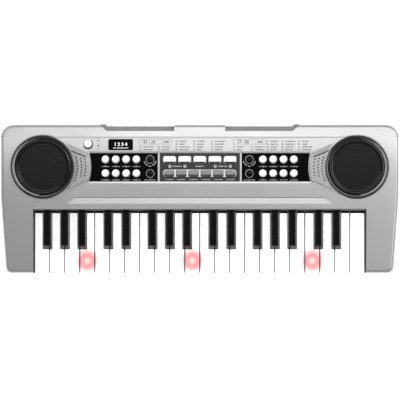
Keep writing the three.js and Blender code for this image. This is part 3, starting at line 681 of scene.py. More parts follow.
FINISHES = {
    # Satin paint with a fine metallic fleck; painted shade on steep sides, painted light in the rear of the
    # field
    "silver_paint": dict(base="silver", roughness=0.36, tint=((0.7, 4), 0.035), wear=((45, 2), 0.34, 0.39),
                         bump=((0.45, 2), 0.004), leans=(((0, 0, 1), 0.42, 1, 0.1, 0.75),),
                         along_y=((1, 1.16, 0.028, 0.055), (1, 0.83, 0.0662, 0.067)),
                         metallic=0.8, coat=0.1, coat_roughness=0.3),
    # The deck's edge over the keys, with painted shade where it turns forward
    "lip_painted_shade": dict(base="silver", roughness=0.45, wear=((5, 3), 0.4, 0.5), metallic=0.4, extra=painted_lip_shade),
    # The pods: silver darkened by painted shade, most where they face the rear
    "pod_paint": dict(base="silver", roughness=0.38, tint=((0.7, 4), 0.05), wear=((6, 3), 0.34, 0.44),
                      leans=(((0, 1, 0), 0.8, 0.576, -0.05, 0.1),), metallic=0.7, coat=0.1,
                      coat_roughness=0.05),
    # Painted shade on the ledges: dark grey, with a coarse grain
    "ledge_painted_shade": dict(base=(0.15, 0.15, 0.154), roughness=0.5, tint=((1.4, 4), 0.1),
                       wear=((5, 3), 0.44, 0.56), bump=((0.7, 3), 0.02)),
    # Plated trim: the panel's dividers, the rings round the domes and the signs
    "silver_trim": dict(base=(0.5, 0.5, 0.51), roughness=0.34, tint=((3, 2), 0.03), wear=((6, 3), 0.3, 0.4),
                        metallic=0.4),
    # Polished black plastic with faint moulding waves and smears
    "gloss_black": dict(base="gloss_black", roughness=0.16, tint=((9, 3), 0.3), wear=((14, 4), 0.1, 0.24),
                        bump=((11, 1), 0.012), specular=0.25, coat=0.6, coat_roughness=0.08),
    # The ring's flange, with a painted reflection on its sides that face the middle
    "ring_flange": dict(base="gloss_black", roughness=0.2, wear=((14, 4), 0.16, 0.28), coat=1,
                        coat_roughness=0.1, extra=flange_painted_reflection),
    # Enamel on the perforated steel of the speakers
    "mesh_black": dict(base="mesh_black", roughness=0.42, wear=((3, 3), 0.36, 0.5), specular=0.05,
                       extra=ringed),
    # The panel's fields, printed behind a clear sheet
    "panel_black": dict(base="gloss_black", roughness=0.15, tint=((2, 3), 0.35), wear=((20, 4), 0.12, 0.2),
                        specular=0.04),
    "panel_grey": dict(base="field_grey", roughness=0.34, tint=((0.8, 3), 0.16), wear=((15, 3), 0.3, 0.4),
                       metallic=0.3),
    "tray_grey": dict(base="tray", roughness=0.35, tint=((2, 3), 0.04), wear=((5, 3), 0.3, 0.42),
                      metallic=0.35),
    # Dark print on the deck; the same ink paints a shadow in front of the power button
    "dark_ink_and_painted_shadow": dict(base="dark_ink_and_painted_shadow", roughness=0.5, tint=((0.5, 4), 0.25), wear=((2, 2), 0.42, 0.58)),
    "light_ink": dict(base="light_ink", roughness=0.5, tint=((0.5, 4), 0.12), wear=((2, 2), 0.42, 0.58)),
    # Round white caps get painted shade on their edges, deepest to the front and right; the bars are as
    # bright at their corners as on top
    "button_white": dict(WHITE_PLASTIC, leans=(((0.35, -0.5, -0.79), 1, 0.08, -0.85, -0.15),)),
    "bar_white": WHITE_PLASTIC,
    # Painted shade on the sloping fronts of the bars and pads
    "painted_front_shade": dict(base=(0.05, 0.05, 0.051), roughness=0.5, tint=((1.2, 3), 0.12),
                       wear=((3, 3), 0.44, 0.56)),
    # Silicone rubber with a fine bloom
    "pad_rubber": dict(base="rubber", roughness=0.6, tint=((1.6, 4), 0.07), wear=((3, 3), 0.52, 0.68),
                       bump=((0.4, 3), 0.008)),
    "foot_rubber": dict(base=(0.03, 0.03, 0.031), roughness=0.75, tint=((2, 4), 0.2),
                        bump=((0.5, 3), 0.02)),
    "key_white": dict(base="white", roughness=0.24, wear=((8, 3), 0.19, 0.3), bump=((1.5, 2), 0.002),
                      coat=0.2, coat_roughness=0.1, extra=lit),
    # Black keys are a little polished by fingers, most at their edges
    "key_black": dict(base=(0.003, 0.003, 0.0032), roughness=0.2, tint=((1.5, 3), 0.3),
                      wear=((9, 3), 0.16, 0.26), bump=((0.6, 2), 0.003), specular=0.13),
    "key_edge": dict(base=(0.006, 0.006, 0.0063), roughness=0.18, tint=((1.5, 3), 0.2),
                     wear=((6, 3), 0.14, 0.24), coat=0.5, coat_roughness=0.12),
    # Black felt: painted shade along the keys' rear and inside the pods' holes
    "painted_shade_felt": dict(base=(0.012, 0.012, 0.012), roughness=0.9, tint=((0.6, 4), 0.4),
                       bump=((0.4, 3), 0.05), specular=0.1),
    # Zinc-plated steel of the screws, speaker frames and magnets
    "steel": dict(base=(0.52, 0.52, 0.53), roughness=0.34, tint=((3, 4), 0.08),
                  wear=((1.5, 4, (1, 1, 0.2)), 0.26, 0.44), metallic=1.0),
    "paper_cone": dict(base=(0.035, 0.034, 0.033), roughness=0.85, tint=((1.2, 5), 0.25),
                       bump=((0.8, 4), 0.05)),
    # Solder mask over the boards' copper tracks
    "board_green": dict(base=(0.012, 0.04, 0.02), roughness=0.35, tint=((6, 2, (1, 4, 1)), 0.3),
                        bump=((2, 1, (1, 5, 1)), 0.02), coat=0.2, coat_roughness=0.2),
    "paper_floor": dict(base="floor", roughness=0.7, tint=((60, 3), 0.01), extra=lightbox),
}
finished = {}


def finish(name):
    """The material of a finish, made when it is first asked for."""
    if name not in finished:
        finished[name] = Finish(name, **FINISHES[name]).material
    return finished[name]


# ---- The case ----

FAR = 0.4  # longer than half the case
BEVEL = 0.5 * MM  # broken edges round windows and holes
LEDGE_CORNER = 4 * MM
SPEAKER_HOLE = 31 * MM
SEAT_DEPTH = 1 * MM  # of the round seats that the speakers' rings lie in
SEAT_CHAMFER = 0.9 * MM
HOLE_FLOOR = -1.1 * MM  # of the openings in the pods, which black felt lines as painted shade
FIELD_WALL = 0.9 * MM  # width of the field's sloping rear wall
GROOVE_FLOOR = (  # (share of width, share of depth)
    (1.01, -0.02), (0.84, 0.3), (0.72, 0.34), (0.12, 0.9), (0, 0.1),
)
OVER_DECK = 5 * MM  # how far cutters reach over the deck
SAME = MM / 10  # places closer than this are taken as one
PANEL_LEDGE = 2 * MM  # what the panel rests on round its window
PANEL_RAMP = 1.8 * MM  # the sloping silver border in front of and behind the panel
PANEL_RAMP_DEPTH = 0.3 * MM
POD_ARC = (math.radians(-44.5), math.radians(46))
POD_END_ARC = (math.radians(-18), math.radians(17.4))
POD_KNEE_TURN = math.radians(2.5)
POD_FLANK = 5.2 * MM  # width of a pod's sloping rear side
POD_SLOT = (Vector((29.9, 17.5)) * MM, Vector((46.3, 10.8)) * MM)  # from the speaker's middle
POD_SLOT_WIDTH = 1.2 * MM
POD_EDGE = 0.9 * MM  # rounding of the pods' edges
POD_FOOT = 0.1 * MM  # how high a pod's sloping rear side ends over the deck
HOLE_EDGE = 0.05 * MM
POWER_EDGE = 0.3 * MM  # broken edge round the power button's hole
PILLAR_X, PILLAR_INSET = 125 * MM, 9.5 * MM  # of the pillars at the rear, from the middle and from the edge
PILLAR_FRONT = 20 * MM  # from the front edge to the pillars in the cheeks
POD_HOLES = (  # arcs of sound holes: radius, number, highest and lowest place along Y
    (37.5 * MM, 9, 10.3 * MM, -14.7 * MM),
    (41.7 * MM, 7, 9.0 * MM, -9.9 * MM),
    (46.1 * MM, 6, 8.5 * MM, -9.3 * MM),
)


def case_outline(inset=0.0):
    """The case in plan, drawn in by so much."""
    case = sizes("case")
    half = CASE_HALF - inset
    narrow = half - case.side_taper
    front, rear = FRONT_Y + inset, REAR_Y - inset
    front_corner = max(case.front_corner - inset, MM)
    rear_corner = max(case.rear_corner - inset, MM)
    return rounded([
        (-narrow, front, front_corner), (narrow, front, front_corner),
        (half, 0, 0), (half, rear, rear_corner),
        (-half, rear, rear_corner), (-half, 0, 0),
    ], math.radians(4.5))


def sheared(drop=0.0):
    """Moves a height over the deck's plane to its true height."""
    return Matrix(((1, 0, 0, 0), (0, 1, 0, 0), (0, SLOPE, 1, deck_height(0) - drop), (0, 0, 0, 1)))


def case_block(name, inset, edge):
    """A block that is level behind the crease and slopes down with the deck in front of it."""
    outline = case_outline(inset)
    level = made(name, prism(outline, -FAR, TOP_Z - inset, top=edge))
    return kept(level, prism(outline, -FAR, 0, top=edge), sheared(inset))


def ledge_forms(grow=0.0):
    """The space over each ledge, and behind its lip, grown by so much."""
    case = sizes("case")
    near, far = case.tab_half - grow, case.tab_half + case.ledge_width + grow
    inner = REAR_Y - case.ledge_depth - grow
    lip = REAR_Y - case.ledge_lip - grow
    over = rounded([
        (near, inner, BEVEL), (far - case.ledge_slant, inner, LEDGE_CORNER),
        (far, REAR_Y - MM, LEDGE_CORNER / 2), (far + LEDGE_CORNER, REAR_Y + MM / 2, 0),
        (far + LEDGE_CORNER, FAR, 0), (near, FAR, 0),
    ])
    end = far - case.ledge_slant
    behind = [Vector(corner) for corner in ((near, lip), (end, lip), (end, FAR), (near, FAR))]
    low = TOP_Z - case.ledge_drop - grow
    forms = []
    for side in SIDES:
        forms.append(prism(sided(over, -side), low, FAR))
        forms.append(prism(sided(behind, -side), -FAR, FAR))
    return forms


def groove_form():
    """The groove across the deck: a steep rear wall, a floor that ramps up to the front, and a low step."""
    case = sizes("case")
    rings = []
    for share, depth in GROOVE_FLOOR:
        y = REAR_Y - case.groove_rear - share * case.groove_width
        half = case.groove_half + share * case.groove_slant
        low = -depth * case.groove_deep
        corners = ((-half, OVER_DECK), (half, OVER_DECK), (half, low), (-half, low))
        rings.append([Vector((x, y, z)) for x, z in corners])
    return stacked(rings)


def field_form():
    """The shallow printed field between the crease and the groove. Its ends lie under the speakers."""
    case = sizes("case")
    front, rear = REAR_Y - case.groove_rear, REAR_Y - case.crease
    half = speaker_x()
    layers = ((rear - FIELD_WALL, -case.field_depth), (rear, 0), (rear, OVER_DECK))
    return layered([
        ([Vector(corner) for corner in ((-half, front), (half, front), (half, y), (-half, y))], z)
        for y, z in layers
    ])


def deck_front_form():
    """What is cut from the deck's edge over the keys to round it off."""
    case = sizes("case")
    radius = case.deck_front_round
    y, z = edge_y() + radius, deck_height(edge_y()) - radius
    clear = edge_y() - radius
    round_edge = arc((y, z), radius, math.pi, math.pi / 2 + TILT, 10)
    outside = [Vector((y, FAR)), Vector((clear, FAR)), Vector((clear, z))]
    return sideways(round_edge + outside, -opening_half(), opening_half())


def pod_outline():
    """The pod right of the left speaker, from that speaker's middle."""
    deck = sizes("deck")
    knee = POD_END_ARC[0] - POD_KNEE_TURN
    bend = Vector((math.cos(knee), math.sin(knee))) * deck.pod_knee
    outer = arc((0, 0), deck.pod_outer, *POD_END_ARC)
    return [bend] + outer + arc((0, 0), deck.pod_inner, *reversed(POD_ARC))


def pod(side):
    """A raised pod, its long rear side sloping down to the deck."""
    deck = sizes("deck")
    low = -sizes("case").wall / 2
    raised = made("pod", prism(pod_outline(), low, deck.pod_height, top=POD_EDGE, steps=4))
    start = Vector((math.cos(POD_END_ARC[1]), math.sin(POD_END_ARC[1]))) * deck.pod_outer
    end = Vector((math.cos(POD_ARC[1]), math.sin(POD_ARC[1]))) * deck.pod_inner
    along = end - start
    turn = Matrix.Rotation(math.atan2(along.y, along.x), 4, "Z")
    fall = Matrix.Rotation(math.atan2(deck.pod_height - POD_FOOT, POD_FLANK), 4, "X")
    place = Matrix.Translation((*start, POD_FOOT)) @ turn @ fall
    cut(raised, block(-FAR, FAR, 0, 2 * POD_FLANK, 0, FAR), place=place)
    shift = Matrix.Translation((-speaker_x(), 0, 0))
    mirror = Matrix.Scale(-side, 4, (1, 0, 0))
    raised.data.transform(deck_place() @ mirror @ shift)
    if side > 0:
        raised.data.flip_normals()
    return raised


def pod_hole_places():
    """The middles of a pod's sound holes, from its speaker's middle."""
    places = []
    for radius, count, high, low in POD_HOLES:
        for k in range(count):
            y = high + (low - high) * k / (count - 1)
            places.append((math.sqrt(radius**2 - y**2), y))
    return places


def pod_opening_forms(side):
    """The sound holes and the long slot in a pod."""
    deck = sizes("deck")
    circles = [circle((side * (speaker_x() - x), y), deck.pod_hole, 14) for x, y in pod_hole_places()]
    forms = [flared(outline, HOLE_FLOOR, deck.pod_height, HOLE_EDGE) for outline in circles]
    start, end = (point - Vector((speaker_x(), 0)) for point in POD_SLOT)
    half = (end - start).normalized().orthogonal() * POD_SLOT_WIDTH / 2
    slot = [start + half, start - half, end - half, end + half]
    if (slot[1] - slot[0]).cross(slot[2] - slot[1]) < 0:
        slot.reverse()
    forms.append(prism(sided(slot, side), HOLE_FLOOR, OVER_DECK))
    return forms


def paint_pods(shell, top_slot, hole_slot):
    """Gives the pods' tops a paint of their own with painted shade, and their openings' floors and walls
    black felt.
    """
    deck = sizes("deck")
    upright = deck_place().inverted()
    holes = [Vector(place) for place in pod_hole_places()]

    def where(face):
        """A face's height over the deck, and its place from its speaker's middle, as on the left side."""
        spot = upright @ face.center
        return spot.z, Vector((speaker_x() - abs(spot.x), spot.y))

    def near_pod(height, place):
        return 0 < place.x < deck.pod_outer and height >= HOLE_FLOOR - SAME

    def on_top(face):
        height, place = where(face)
        raised = height > deck.pod_height - SAME / 2 or face.normal.y > 0.03
        return near_pod(height, place) and height > 0 and face.normal.z > 0.94 and raised

    def in_opening(face):
        height, place = where(face)
        if not near_pod(height, place) or on_top(face):
            return False
        in_hole = any((place - hole).length < deck.pod_hole + SAME for hole in holes)
        from_slot = place - intersect_point_line(place, *POD_SLOT)[0].to_2d()
        return in_hole or height < 0 and from_slot.length < POD_SLOT_WIDTH

    repainted(shell, top_slot, on_top)
    repainted(shell, hole_slot, in_opening)


def panel_outline(inset=0.0, spread=0.0):
    """The panel in the deck's plane, drawn in by so much, and spread at its front and rear only."""
    deck = sizes("deck")
    radius = deck.pod_outer + deck.panel_gap + inset
    rear = math.asin((deck.panel_rear - inset + spread) / radius)
    front = math.asin((deck.panel_front + inset - spread) / radius)
    left = arc((-speaker_x(), 0), radius, rear, front, 14)
    return left + mirrored(left)


def panel_window_forms():
    """The sunk seat of the panel with its sloping border, and the window inside it."""
    deck, case = sizes("deck"), sizes("case")
    low = -deck.panel_thick - case.seam
    foot = -case.field_depth - PANEL_RAMP_DEPTH
    tight, wide = panel_outline(), panel_outline(spread=PANEL_RAMP)
    seat = layered([(tight, low), (tight, foot), (wide, -case.field_depth), (wide, OVER_DECK)])
    return [seat, prism(panel_outline(PANEL_LEDGE), -2 * case.wall, 0)]


def speaker_seat_form(side):
    """The round seat of a speaker with its broken edge, and the hole through its floor."""
    case = sizes("case")
    seat, low = sizes("deck").ring_radius + case.seam, -4 * case.wall
    wide = seat + SEAT_CHAMFER
    form = lathe([
        (0, low), (SPEAKER_HOLE, low), (SPEAKER_HOLE, -SEAT_DEPTH), (seat, -SEAT_DEPTH),
        (seat, -SEAT_CHAMFER / 2), (wide, SEAT_CHAMFER / 4), (wide, OVER_DECK), (0, OVER_DECK),
    ], 128)
    form.transform(Matrix.Translation((side * speaker_x(), 0, 0)))
    return form


def shell_boss_places():
    """Where the pillars of the case screws stand."""
    case = sizes("case")
    cheek_middle = opening_half() + case.wall + (case.cheek - case.side_taper - 2 * case.wall) / 2
    places = []
    for side in SIDES:
        places.append((side * PILLAR_X, REAR_Y - PILLAR_INSET))
        places.append((side * cheek_middle, FRONT_Y + PILLAR_FRONT))
    return places


def seam_groove():
    """The shadow line round the upper shell's foot."""
    case = sizes("case")
    ring = made("seam", prism(case_outline(-2 * MM), PARTING - MM, PARTING + case.seam_groove))
    return cut(ring, prism(case_outline(case.seam_groove), -FAR, FAR))


def paint_ledges(shell, slot_index):
    """Gives the ledges' floors and inner sides another finish, dark grey painted shade."""
    case = sizes("case")
    near, far = case.tab_half - SAME, case.tab_half + case.ledge_width + MM
    floor, inner = TOP_Z - case.ledge_drop - SAME, REAR_Y - case.ledge_depth - SAME

    def in_ledge(face):
        x, y, z = face.center
        return near < abs(x) < far and y > inner and floor < z < TOP_Z - SAME

    repainted(shell, slot_index, in_ledge)


def paint_lip(shell, slot_index):
    """Gives the deck's rounded edge over the keys, and the wall under it, another finish, with painted
    shade.
    """
    near, far = edge_y() - SAME, edge_y() + sizes("case").deck_front_round + SAME
    half = opening_half() + SAME

    def in_lip(face):
        forward = face.normal.y < -math.sin(1.5 * TILT)
        return forward and near < face.center.y < far and abs(face.center.x) < half

    repainted(shell, slot_index, in_lip)


class UpperCase(bpy.types.Operator):
    """The upper shell with its pods, ledges, groove, seats and windows"""

    bl_idname = "keyboard.upper_case"
    bl_label = "Upper case"

    def execute(self, context):
        case, deck, buttons = sizes("case"), sizes("deck"), sizes("buttons")
        opening, edge = opening_half(), edge_y()
        inside = case_block("inside", case.wall, case.edge_round - case.wall)
        cut(inside, *ledge_forms(case.wall))
        cut(inside, block(-opening - case.wall, opening + case.wall, -FAR, edge + case.wall, -FAR, FAR))
        shell = case_block("upper_case_shell", 0, case.edge_round)
        combined(shell, inside, "DIFFERENCE")
        cut(shell, field_form(), place=sheared())
        rounds = [circle(place, case.screw_well, 20) for place in shell_boss_places()]
        pillars = made("pillars", *(prism(outline, PARTING, TOP_Z - case.wall / 2) for outline in rounds))
        combined(pillars, case_block("limit", case.wall / 2, case.wall / 2), "INTERSECT")
        combined(shell, pillars, "UNION")
        for side in SIDES:
            combined(shell, pod(side), "UNION")
        cut(shell, block(-opening, opening, -FAR, edge, -FAR, FAR))
        cut(shell, block(-opening, opening, -FAR, edge + 2 * case.wall, -FAR, WHITE_TOP + case.fascia_drop))
        cut(shell, block(-FAR, FAR, -FAR, FAR, -2 * FAR, PARTING))
        combined(shell, seam_groove(), "DIFFERENCE")
        cut(shell, *ledge_forms())
        place = deck_place()
        for side in SIDES:
            cut(shell, speaker_seat_form(side), place=place)
            combined(shell, made("holes", *pod_opening_forms(side), place=place), "DIFFERENCE")
        cut(shell, *panel_window_forms(), place=place)
        cut(shell, groove_form(), place=sheared())
        cut(shell, deck_front_form())
        power = circle((-buttons.power_x, buttons.power_y), buttons.power_radius + deck.fit)
        cut(shell, flared(power, -2 * case.wall, -case.field_depth, POWER_EDGE, OVER_DECK), place=place)
        paint_ledges(shell, 1)
        paint_lip(shell, 2)
        paint_pods(shell, 3, 4)
        dressed(shell, "case", "silver_paint", "ledge_painted_shade", "lip_painted_shade", "pod_paint", "painted_shade_felt",
                slot="silver_plastic", nodes=("upper_case",))
        return {"FINISHED"}


# ---- The lower case, its battery bay and its door ----

BAY_HALF = 53 * MM
BAY_FROM_REAR = 30 * MM
BAY_DEPTH = 31 * MM
BAY_HEIGHT = 17 * MM
BAY_WALL = 1.6 * MM
DOOR_RIM = MM  # how far the bay's walls stand back from the door's hole
DOOR_TAB_X = 30 * MM
DOOR_TAB_WIDTH = 12 * MM
DOOR_TAB_REACH = 3 * MM
DOOR_TAB_THICK = 1.5 * MM
DOOR_THICK = 2.2 * MM
DOOR_EDGE = 0.3 * MM
THUMB_GROOVES = 6
THUMB_GROOVE = 0.45 * MM  # radius
THUMB_ROWS = (3.0, 1.8)  # mm: from the door's front to the first thumb groove, and from one to the next
THUMB_HALF = (13.0, -1.3)  # mm: half the length of the first, and the change from one to the next
FINGER_FROM_BAY = 3 * MM
FINGER_HOLLOW = (  # (radius, height) in mm, in front of the door
    (0, -1), (9, -1), (9, 0), (7, 1.2), (0, 1.5),
)
SCREW_CROSS = (1.4 * MM, 0.3 * MM, -2 * MM, -0.7 * MM)  # half length, half width, foot and top
SCREW_TURN = 0.3  # radians
SCREW_PROFILE = (  # (radius, height) in mm
    (0, -1.6), (1.2, -1.5), (2.1, -1), (2.5, -0.2), (2.5, 0), (1.2, 0), (1.2, 4), (0, 4.6),
)
BOARD_HEIGHT = 8.2 * MM  # what the strip of circuit board under the keys stands on
BOARD_DEPTH = 17 * MM
RIB = 2 * MM
SCREW_WELL = 3.1 * MM
SCREW_DEPTH = 8 * MM  # of the heads, up from the floor
FOOT_PAD = 5.6 * MM  # radius
FOOT_PAD_THICK, FOOT_PAD_EDGE, FOOT_PAD_FIT = 1.2 * MM, 0.4 * MM, 0.15 * MM


def bay_places():
    """The battery bay's front and rear, and the rear side of its door's hole."""
    rear = REAR_Y - BAY_FROM_REAR
    return rear - BAY_DEPTH, rear, rear - DOOR_TAB_REACH - DOOR_RIM


def foot_places():
    x, y = CASE_HALF - sizes("case").foot_inset_x, REAR_Y - sizes("case").foot_inset_y
    return [(side * x, end * y) for side in SIDES for end in SIDES]


class LowerCase(bpy.types.Operator):
    """The lower shell with its feet, screw wells, battery bay, key rail and ribs"""

    bl_idname = "keyboard.lower_case"
    bl_label = "Lower case"

    def execute(self, context):
        case = sizes("case")
        foot, floor = case.foot_height, case.foot_height + case.wall
        middle, rim = foot + case.wall / 2, PARTING - case.seam
        opening, edge = opening_half(), keys_rear()
        feet, bosses = foot_places(), shell_boss_places()
        inside = made("inside", prism(case_outline(case.wall), floor, FAR))
        cut(inside, *ledge_forms(case.wall))
        shell = made("lower_case_shell", prism(case_outline(), foot, rim, foot=case.base_round))
        combined(shell, inside, "DIFFERENCE")
        cut(shell, *ledge_forms())
        front, rear, hinge = bay_places()
        rail = arc((PIVOT_Y, PIVOT_Z), RAIL_RADIUS, 0, math.pi, 16)
        rail += [Vector((PIVOT_Y - RAIL_RADIUS, middle)), Vector((PIVOT_Y + RAIL_RADIUS, middle))]
        wide = BAY_HALF + BAY_WALL
        joined(
            shell,
            block(-wide, wide, front - BAY_WALL, rear + BAY_WALL, middle, floor + BAY_HEIGHT + BAY_WALL),
            sideways(rail, -opening, opening),
            *(prism(circle(place, case.foot_radius), MM / 2, middle, foot=MM / 2) for place in feet),
            *(prism(circle(place, case.screw_well, 32), middle, rim) for place in bosses),
            *(block(-opening, opening, y - RIB, y, middle, BOARD_HEIGHT)
              for y in (edge, edge - BOARD_DEPTH + 2 * RIB)),
        )
        cut(
            shell,
            block(-BAY_HALF, BAY_HALF, front, rear, floor, floor + BAY_HEIGHT),
            block(DOOR_RIM - BAY_HALF, BAY_HALF - DOOR_RIM, front + DOOR_RIM, hinge, 0, floor + MM),
            block(-opening, opening, -FAR, FRONT_Y + 2 * case.wall + case.front_corner, case.front_lip,
                  FAR),
            *(prism(circle(place, FOOT_PAD + FOOT_PAD_FIT), -MM, MM) for place in feet),
            *(prism(circle(place, SCREW_WELL, 32), -MM, foot + SCREW_DEPTH) for place in bosses),
        )
        finger = Matrix.Translation((0, front - FINGER_FROM_BAY, foot))
        cut(shell, lathe(in_millimetres(FINGER_HOLLOW), 48), place=finger)
        dressed(shell, "case", "silver_paint", slot="silver_plastic", nodes=("lower_case",))
        for number, place in enumerate(feet, 1):
            pad = prism(circle(place, FOOT_PAD), 0, FOOT_PAD_THICK, foot=FOOT_PAD_EDGE)
            dressed(made(f"foot_pad_{number}", pad), "case", "foot_rubber")
        for number, place in enumerate(bosses, 1):
            at = Matrix.Translation((*place, foot + SCREW_DEPTH))
            screw = made(f"case_screw_{number}", lathe(in_millimetres(SCREW_PROFILE), 32), place=at)
            half, thin, low, high = SCREW_CROSS
            for turn in (SCREW_TURN, SCREW_TURN + math.pi / 2):
                cut(screw, block(-half, half, -thin, thin, low, high),
                    place=at @ Matrix.Rotation(turn + number, 4, "Z"))
            dressed(screw, "case", "steel")
        return {"FINISHED"}


class BatteryDoor(bpy.types.Operator):
    """The battery door with its two tabs and the grooves for a thumb"""

    bl_idname = "keyboard.battery_door"
    bl_label = "Battery door"

    def execute(self, context):
        case, fit = sizes("case"), sizes("deck").fit
        low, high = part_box("battery_door")
        front, hinge = low.y, bay_places()[2] - fit
        tab_low = case.foot_height + case.wall + case.seam
        outline = rectangle(0, (front + hinge) / 2, high.x - low.x, hinge - front, MM)
        plate = prism(outline, low.z, low.z + DOOR_THICK, top=DOOR_EDGE, foot=DOOR_EDGE, steps=3)
        door = made("battery_door_plate", plate)
        for side in SIDES:
            left = side * DOOR_TAB_X - DOOR_TAB_WIDTH / 2
            right = left + DOOR_TAB_WIDTH
            joined(door, block(left, right, hinge - DOOR_TAB_THICK, hinge, low.z + MM, high.z),
                   block(left, right, hinge - DOOR_TAB_THICK, high.y, tab_low, high.z))
        for row in range(THUMB_GROOVES):
            y = front + (THUMB_ROWS[0] + THUMB_ROWS[1] * row) * MM
            half = (THUMB_HALF[0] + THUMB_HALF[1] * row) * MM
            cut(door, sideways(circle((y, low.z), THUMB_GROOVE, 12), -half, half))
        dressed(door, "battery_door", "silver_paint", slot="silver_plastic", nodes=("battery_door",))
        return {"FINISHED"}


# ---- Speakers, made round the origin of the deck's flat ----

RING_FOOT = -0.95  # mm; the ring stands in its seat here
RING_PROFILE = (  # (radius, height) in mm: foot, shoulder, flange that leans in, valley, and a round bead
    (25.3, -2.4), (30.65, -2.4), (30.65, RING_FOOT), (34, RING_FOOT), (34, 0.9), (33.9, 1.25), (33.6, 1.5),
    (33.2, 1.6), (31.35, 1.33), (31.05, 1.2), (30.6, 0.75), (30.45, 0.4), (30.35, -0.1), (30.15, -0.25),
    (29.9, -0.12), (29.6, 0.08), (29.15, 0.26), (28.6, 0.34), (28.0, 0.28), (27.5, 0.08), (27.15, -0.25),
    (26.95, -0.7), (26.8, -1.05), (26.2, -1.1), (25.75, -1.2), (25.45, -1.4), (25.3, -1.65),
)
RING_FLANGE = (30.5 * MM, 33.4 * MM)  # radii of the ring's flange and of the step inside it
BASKET_PROFILE = (
    (12.6, -15.8), (28, -4.8), (33, -4.8), (33, -2.8), (28.6, -2.8), (27.6, -4.0), (13.2, -14.6),
    (12.6, -14.9),
)
MAGNET_PROFILE = ((0, -23.8), (13.3, -23.8), (14, -23.1), (14, -16.4), (13.4, -15.8), (0, -15.8))
CONE_PROFILE = (
    (0, -8.9), (7.2, -9.3), (24.4, -3.95), (28.5, -3.7), (28.5, -3.2), (27.7, -2.8), (26.3, -2.65),
    (25.1, -3.0), (24.5, -3.5), (16, -6.1), (7.8, -8.6), (6.8, -7.9), (4, -7.0), (0, -6.6),
)
MESH_THICKNESS = 0.5 * MM
MESH_FOOT = -1.95 * MM  # of the mesh's rim, inside the ring
MESH_RIM = 0.3 * MM  # how far the mesh reaches in under its ring


def perforated_mesh(name):
    """A domed sheet of six-sided cells, each with a round hole."""
    deck = sizes("deck")
    pitch, hole, reach = deck.mesh_pitch, deck.mesh_hole, deck.mesh_radius + MESH_RIM
    corner = pitch / math.sqrt(3)
    sheet = bmesh.new()
    shared = {}

    def point(x, y):
        key = (round(x / pitch * 100), round(y / pitch * 100))
        if key not in shared:
            height = MESH_FOOT + deck.mesh_crown * (1 - (x**2 + y**2) / reach**2)
            shared[key] = sheet.verts.new((x, y, height))
        return shared[key]

    rows = math.ceil(reach / (1.5 * corner))
    columns = math.ceil(reach / pitch) + 1
    turns = [math.radians(30 + 30 * k) for k in range(12)]
    for row in range(-rows, rows + 1):
        for column in range(-columns, columns + 1):
            x, y = (column + (row % 2) / 2) * pitch, row * 1.5 * corner
            if math.hypot(x, y) > reach:
                continue
            outer = [point(x + corner * math.cos(a), y + corner * math.sin(a)) for a in turns[::2]]
            inner = [point(x + hole * math.cos(a), y + hole * math.sin(a)) for a in turns]
            for k in range(6):
                here, middle, ahead = inner[2 * k], inner[2 * k + 1], inner[(2 * k + 2) % 12]
                sheet.faces.new((outer[k], outer[(k + 1) % 6], ahead, middle, here))
    mesh = made(name, sheet)
    thick = mesh.modifiers.new("thickness", "SOLIDIFY")
    thick.thickness = MESH_THICKNESS
    thick.offset = 0
    return settled(mesh)


class Speakers(bpy.types.Operator):
    """Both speakers: stepped trim ring, perforated mesh, basket, magnet and cone"""

    bl_idname = "keyboard.speakers"
    bl_label = "Speakers"

    def execute(self, context):
        for side, name in SIDE_NAMES.items():
            place = deck_place() @ Matrix.Translation((side * speaker_x(), 0, 0))

            def turned(part, profile, sides=64):
                return made(f"speaker_{part}_{name}", lathe(in_millimetres(profile), sides), place=place)

            def on_flange(face):
                spot = place.inverted() @ face.center
                return spot.z > 0 and RING_FLANGE[0] < spot.to_2d().length < RING_FLANGE[1]

            ring = turned("ring", RING_PROFILE, 160)
            # the flange gets the finish with the painted reflection
            repainted(ring, 1, on_flange)
            dressed(ring, "case", "gloss_black", "ring_flange", slot="grille_black",
                    nodes=("grille_" + name,))
            mesh = perforated_mesh("speaker_mesh_" + name)
            mesh.data.transform(place)
            dressed(mesh, "case", "mesh_black", slot="grille_black")
            basket = turned("basket", BASKET_PROFILE)
            dressed(basket, "case", "steel", slot="speaker_steel", nodes=("driver_" + name,))
            dressed(turned("magnet", MAGNET_PROFILE), "case", "steel")
            dressed(turned("cone", CONE_PROFILE), "case", "paper_cone")
        return {"FINISHED"}


# ---- The panel, its print and its buttons, made in the deck's flat ----

PANEL_SEAM = 0.15 * MM  # between the panel and its seat
INK = 0.03 * MM  # how far print stands over what carries it
WEB_TOP = -1.5 * MM  # of the webs and flanges that hold the panel's buttons in
WEB = MM
FLANGE = 0.9 * MM
POWER_WEB_TOP = -2.8 * MM
CAP_FOOT = -2.0 * MM  # where the caps start, inside their webs
BARS = 5
PADS = 6
BAR_CORNER = 1.9 * MM
BAR_LEANING = (0.1 * MM, 1.8 * MM, 0.45 * MM, 0.25 * MM)  # knee, front, sides and soft edge
PAD_LEANING = (-0.15 * MM, 2.5 * MM, 0.3 * MM, 0.2 * MM)  # the same of the pads
PAD_ROUND = (1.7 * MM, 0.6 * MM, 3.3 * MM)  # at a pad's front, at its rear, and at the row's two ends
PAD_SPACE = (0.35 * MM, 0.45 * MM)  # between a pad's place and its cap: aside, and in front and behind
FRONT_FACING = (-0.95, -0.4)  # how far sloping fronts face forward
DOME_FOOT = 0.55 * MM  # where a dome starts to curve
CAP_CROWN, CAP_EDGE = 0.35 * MM, 1.7 * MM  # rise of a round cap's top, and rounding of its edge
SIGN_LINE = 0.55 * MM  # the line of the plus and minus signs
SIGN_SHIFT = 0.3 * MM
ARC_RADII = (6.4 * MM, 7.0 * MM)  # of the two arcs under a dome
